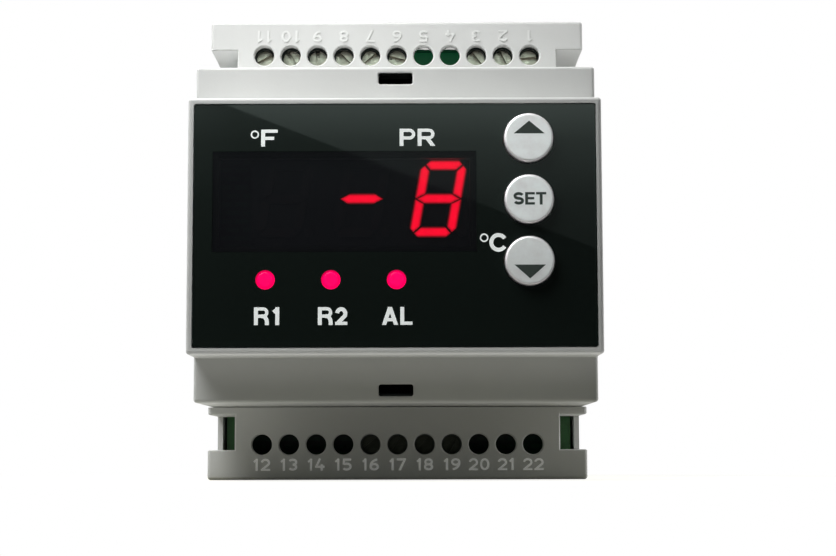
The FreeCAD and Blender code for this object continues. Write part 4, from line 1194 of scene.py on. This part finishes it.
def world():
    """A white room behind the device and a dim one in front; the camera sees white all round."""
    made = bpy.data.worlds.new("studio")
    bpy.context.scene.world = made
    made.use_nodes = True
    tree = made.node_tree
    tree.nodes.clear()
    direction = axes(tree, tree.nodes.new("ShaderNodeTexCoord").outputs["Generated"])
    behind = ranged(tree, direction["Y"], 0.0, 1.0, BACK_TURN)
    ambient = add_node(tree, "ShaderNodeBackground", Strength=1.0)
    level = ramp(tree, behind, ((0.0, AMBIENT_FRONT), (1.0, WHITE)))
    tree.links.new(level, ambient.inputs["Color"])
    mirrored = ranged(tree, behind, MIRRORED_FRONT, 1.0, UNIT_SPAN)
    white = add_node(tree, "ShaderNodeBackground", Color=WHITE, Strength=1.0)
    mix = tree.nodes.new("ShaderNodeMixShader")
    shaders = (seen_share(tree, mirrored), ambient.outputs["Background"], white.outputs["Background"])
    feed(tree, mix, shaders)
    output = tree.nodes.new("ShaderNodeOutputWorld")
    tree.links.new(mix.outputs["Shader"], output.inputs["Surface"])


def stage_sheet(name, corners):
    """A flat four-cornered sheet that is no part of the device, with its empty material."""
    mesh = bpy.data.meshes.new(name)
    mesh.from_pydata([metres(corner) for corner in corners], [], [[0, 1, 2, 3]])
    sheet = bpy.data.objects.new(name, mesh)
    bpy.context.scene.collection.objects.link(sheet)
    made, tree, bsdf = new_material(name)
    tree.nodes.remove(bsdf)
    mesh.materials.append(made)
    return sheet, tree, tree.nodes["Material Output"].inputs["Surface"]


def floor(level):
    """A pale floor that keeps the object's shadow and fades to white further out."""
    far = FLOOR_REACH
    corners = [(-far, -far, level), (far, -far, level), (far, far, level), (-far, far, level)]
    _, tree, surface = stage_sheet("floor", corners)
    distance = vector_node(tree, "LENGTH", "Value", object_coordinates(tree))
    away = ranged(tree, distance, 0.0, 1.0, metres(FLOOR_FADE))
    diffuse = tree.nodes.new("ShaderNodeBsdfDiffuse")
    tree.links.new(ramp(tree, away, ((0.0, FLOOR_COLOUR), (1.0, BLACK))), diffuse.inputs["Color"])
    glow = ranged(tree, away, FLOOR_GLOW_NEAR, 1.0, UNIT_SPAN)
    depth = axes(tree, object_coordinates(tree))["Y"]
    mirrored = ranged(tree, depth, MIRRORED_FRONT, 1.0, metres(FLOOR_DIM_Y))
    emission = tree.nodes.new("ShaderNodeEmission")
    strength = math_node(tree, "MULTIPLY", glow, seen_share(tree, mirrored))
    tree.links.new(strength, emission.inputs["Strength"])
    both = tree.nodes.new("ShaderNodeAddShader")
    feed(tree, both, (diffuse.outputs["BSDF"], emission.outputs["Emission"]))
    tree.links.new(both.outputs["Shader"], surface)


def card(name, corners, gain, inner_share):
    """A board that only glossy faces mirror, brighter above and at its left end."""
    sheet, tree, surface = stage_sheet(name, corners)
    place = axes(tree, object_coordinates(tree))
    height = ranged(tree, place["Z"], 0.0, 1.0, metres((0.0, CARD_RAMP_TOP)))
    strength = ranged(tree, place["X"], gain, gain * inner_share, metres(FLAG_SIDE))
    emission = tree.nodes.new("ShaderNodeEmission")
    tree.links.new(strength, emission.inputs["Strength"])
    tree.links.new(clouded(tree, height, CARD_TINT, CARD_RAMP), emission.inputs["Color"])
    tree.links.new(emission.outputs["Emission"], surface)
    sheet.visible_camera = False
    sheet.visible_diffuse = False
    sheet.visible_transmission = False
    sheet.visible_shadow = False
    sheet.visible_volume_scatter = False


def cards():
    """The dim card and, a little nearer, the bright one that lies above the glare's edge."""
    y = CARD_PLACE_Y
    wide = FLAG_REACH
    corners = [(-wide, y, FLAG_FOOT), (wide, y, FLAG_FOOT), (wide, y, wide), (-wide, y, wide)]
    card("flag_card", corners, 1.0, FLAG_SHARE)
    left, right = (Vector(point) for point in GLARE_EDGE)
    along = (right - left).normalized()
    up = Vector((-along.y, along.x)) * GLARE_HEIGHT
    start = left - along * GLARE_RUN_UP
    end = start + along * GLARE_LENGTH
    corners = [(p.x, y + GLARE_NEARER, p.y) for p in (start, end, end + up, start + up)]
    card("glare_card", corners, GLARE_GAIN, 1.0)


def soft_light(name, size, watts, place, target, mirrored):
    lamp = bpy.data.lights.new(name, "AREA")
    lamp.shape = "RECTANGLE"
    lamp.size, lamp.size_y = metres(size)
    lamp.energy = watts
    light = bpy.data.objects.new(name, lamp)
    light.location = metres(place)
    light.rotation_mode = "QUATERNION"
    light.rotation_quaternion = (Vector(target) - Vector(place)).to_track_quat("-Z", "Y")
    light.visible_camera = False
    light.visible_glossy = mirrored
    bpy.context.scene.collection.objects.link(light)


def camera():
    data = bpy.data.cameras.new("camera")
    data.sensor_width = SENSOR_WIDTH
    data.lens = CAMERA_FOCUS_PIXELS * SENSOR_WIDTH / PIXELS_WIDE
    data.shift_y = CAMERA_SHIFT_UP
    data.clip_start, data.clip_end = CAMERA_CLIP_METRES
    made = bpy.data.objects.new("camera", data)
    tilt = Matrix.Rotation(math.radians(90 + CAMERA_PITCH), 4, "X")
    roll = Matrix.Rotation(math.radians(CAMERA_ROLL), 4, "Z")
    made.matrix_world = Matrix.Translation(metres(CAMERA_PLACE)) @ tilt @ roll
    bpy.context.scene.collection.objects.link(made)
    bpy.context.scene.camera = made


clear_start()
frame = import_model()
cad_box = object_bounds()

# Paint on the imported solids
housing_grey = linear(HOUSING_COLOUR)
materials = {
    # the housing carries painted shade in its slots and window opening and painted light in its upper
    # left notch
    "housing": moulded("housing", housing_grey, HOUSING_ROUGHNESS, HOUSING_SPECULAR, specks=True),
    "label_film": label_film(),
    "smoked_window": smoked_window(),
    "lit_red": lit_bars(),
    "key_silver": silver_key(),
    "lamp_pink": lamp_lens(),
    "board_green": solder_resist(),
}
for slot, (colour, roughness, specular) in PLASTICS.items():
    materials[slot] = moulded(slot, linear(colour), roughness, specular)
for slot, (colour, roughness, scratches) in METALS.items():
    materials[slot] = metal(slot, linear(colour), roughness, scratches)
solids = frame["nodes"]
for subpart in frame["record"]["subparts"]:
    paint(solids[subpart["node"]], materials[subpart["material_slot"]])
# painted shade: the lower row's screws get the darker copy of the screw steel
for number in SHADED_SCREWS:
    paint(solids[f"screw_{number}"], materials["screw_steel_shaded"])

# Pieces added to the solids
label_white = printed("label_white", LABEL_INK, glow=LABEL_INK_PAINTED_GLOW)
key_grey = printed("key_grey", KEY_INK)
mask_black = printed("mask_black", MASK_INK, specular=MASK_SPECULAR)
pane_low, pane_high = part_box("display_window")
mask = window_mask(pane_low / MM, pane_high / MM)
raised("window_mask", mask, pane_high.y / MM, PRINT_HEIGHT, mask_black, "case")
raised("label_print", label_words(), LABEL_Y, PRINT_HEIGHT, label_white, "case")
raised("up_mark", triangle(UP_TRIANGLE), KEY_Y, PRINT_HEIGHT, key_grey, "up_key")
raised("down_mark", triangle(DOWN_TRIANGLE), KEY_Y, PRINT_HEIGHT, key_grey, "down_key")
raised("set_mark", word(*KEY_WORD, KEY_STROKE), KEY_Y, PRINT_HEIGHT, key_grey, "set_key")
# raised numbers in lightened copies of the housing grey: painted light, with a painted glow on the lower
# row
upper_crest_painted_light = moulded("upper_crest_painted_light", shade(housing_grey, UPPER_CREST_PAINTED_LIGHT), CREST_ROUGHNESS)
lower_crest_lit_grey = shade(housing_grey, LOWER_CREST_PAINTED_LIGHT)
lower_crest_painted_light = moulded("lower_crest_painted_light", lower_crest_lit_grey, CREST_ROUGHNESS, glow=LOWER_CREST_PAINTED_GLOW)
upper = terminal_figures(UPPER_TERMINALS, MIDDLE_UPPER, UPPER_FIGURE_Z, True)
lower = terminal_figures(LOWER_TERMINALS, MIDDLE_LOWER, LOWER_FIGURE_Z, False)
raised("upper_numbers", upper, COVER_Y, FIGURE_HEIGHT, upper_crest_painted_light, "case")
raised("lower_numbers", lower, COVER_Y, FIGURE_HEIGHT, lower_crest_painted_light, "case")
folded_spring(materials["spring_steel"])
segment_glow(solids["lit_segments"], bar_glow())

# Stage, light and camera
world()
floor(cad_box[0].z / MM)
cards()
for name, lamp in LAMPS.items():
    soft_light(name, *lamp)
camera()
bpy.context.scene.view_settings.view_transform = "Standard"
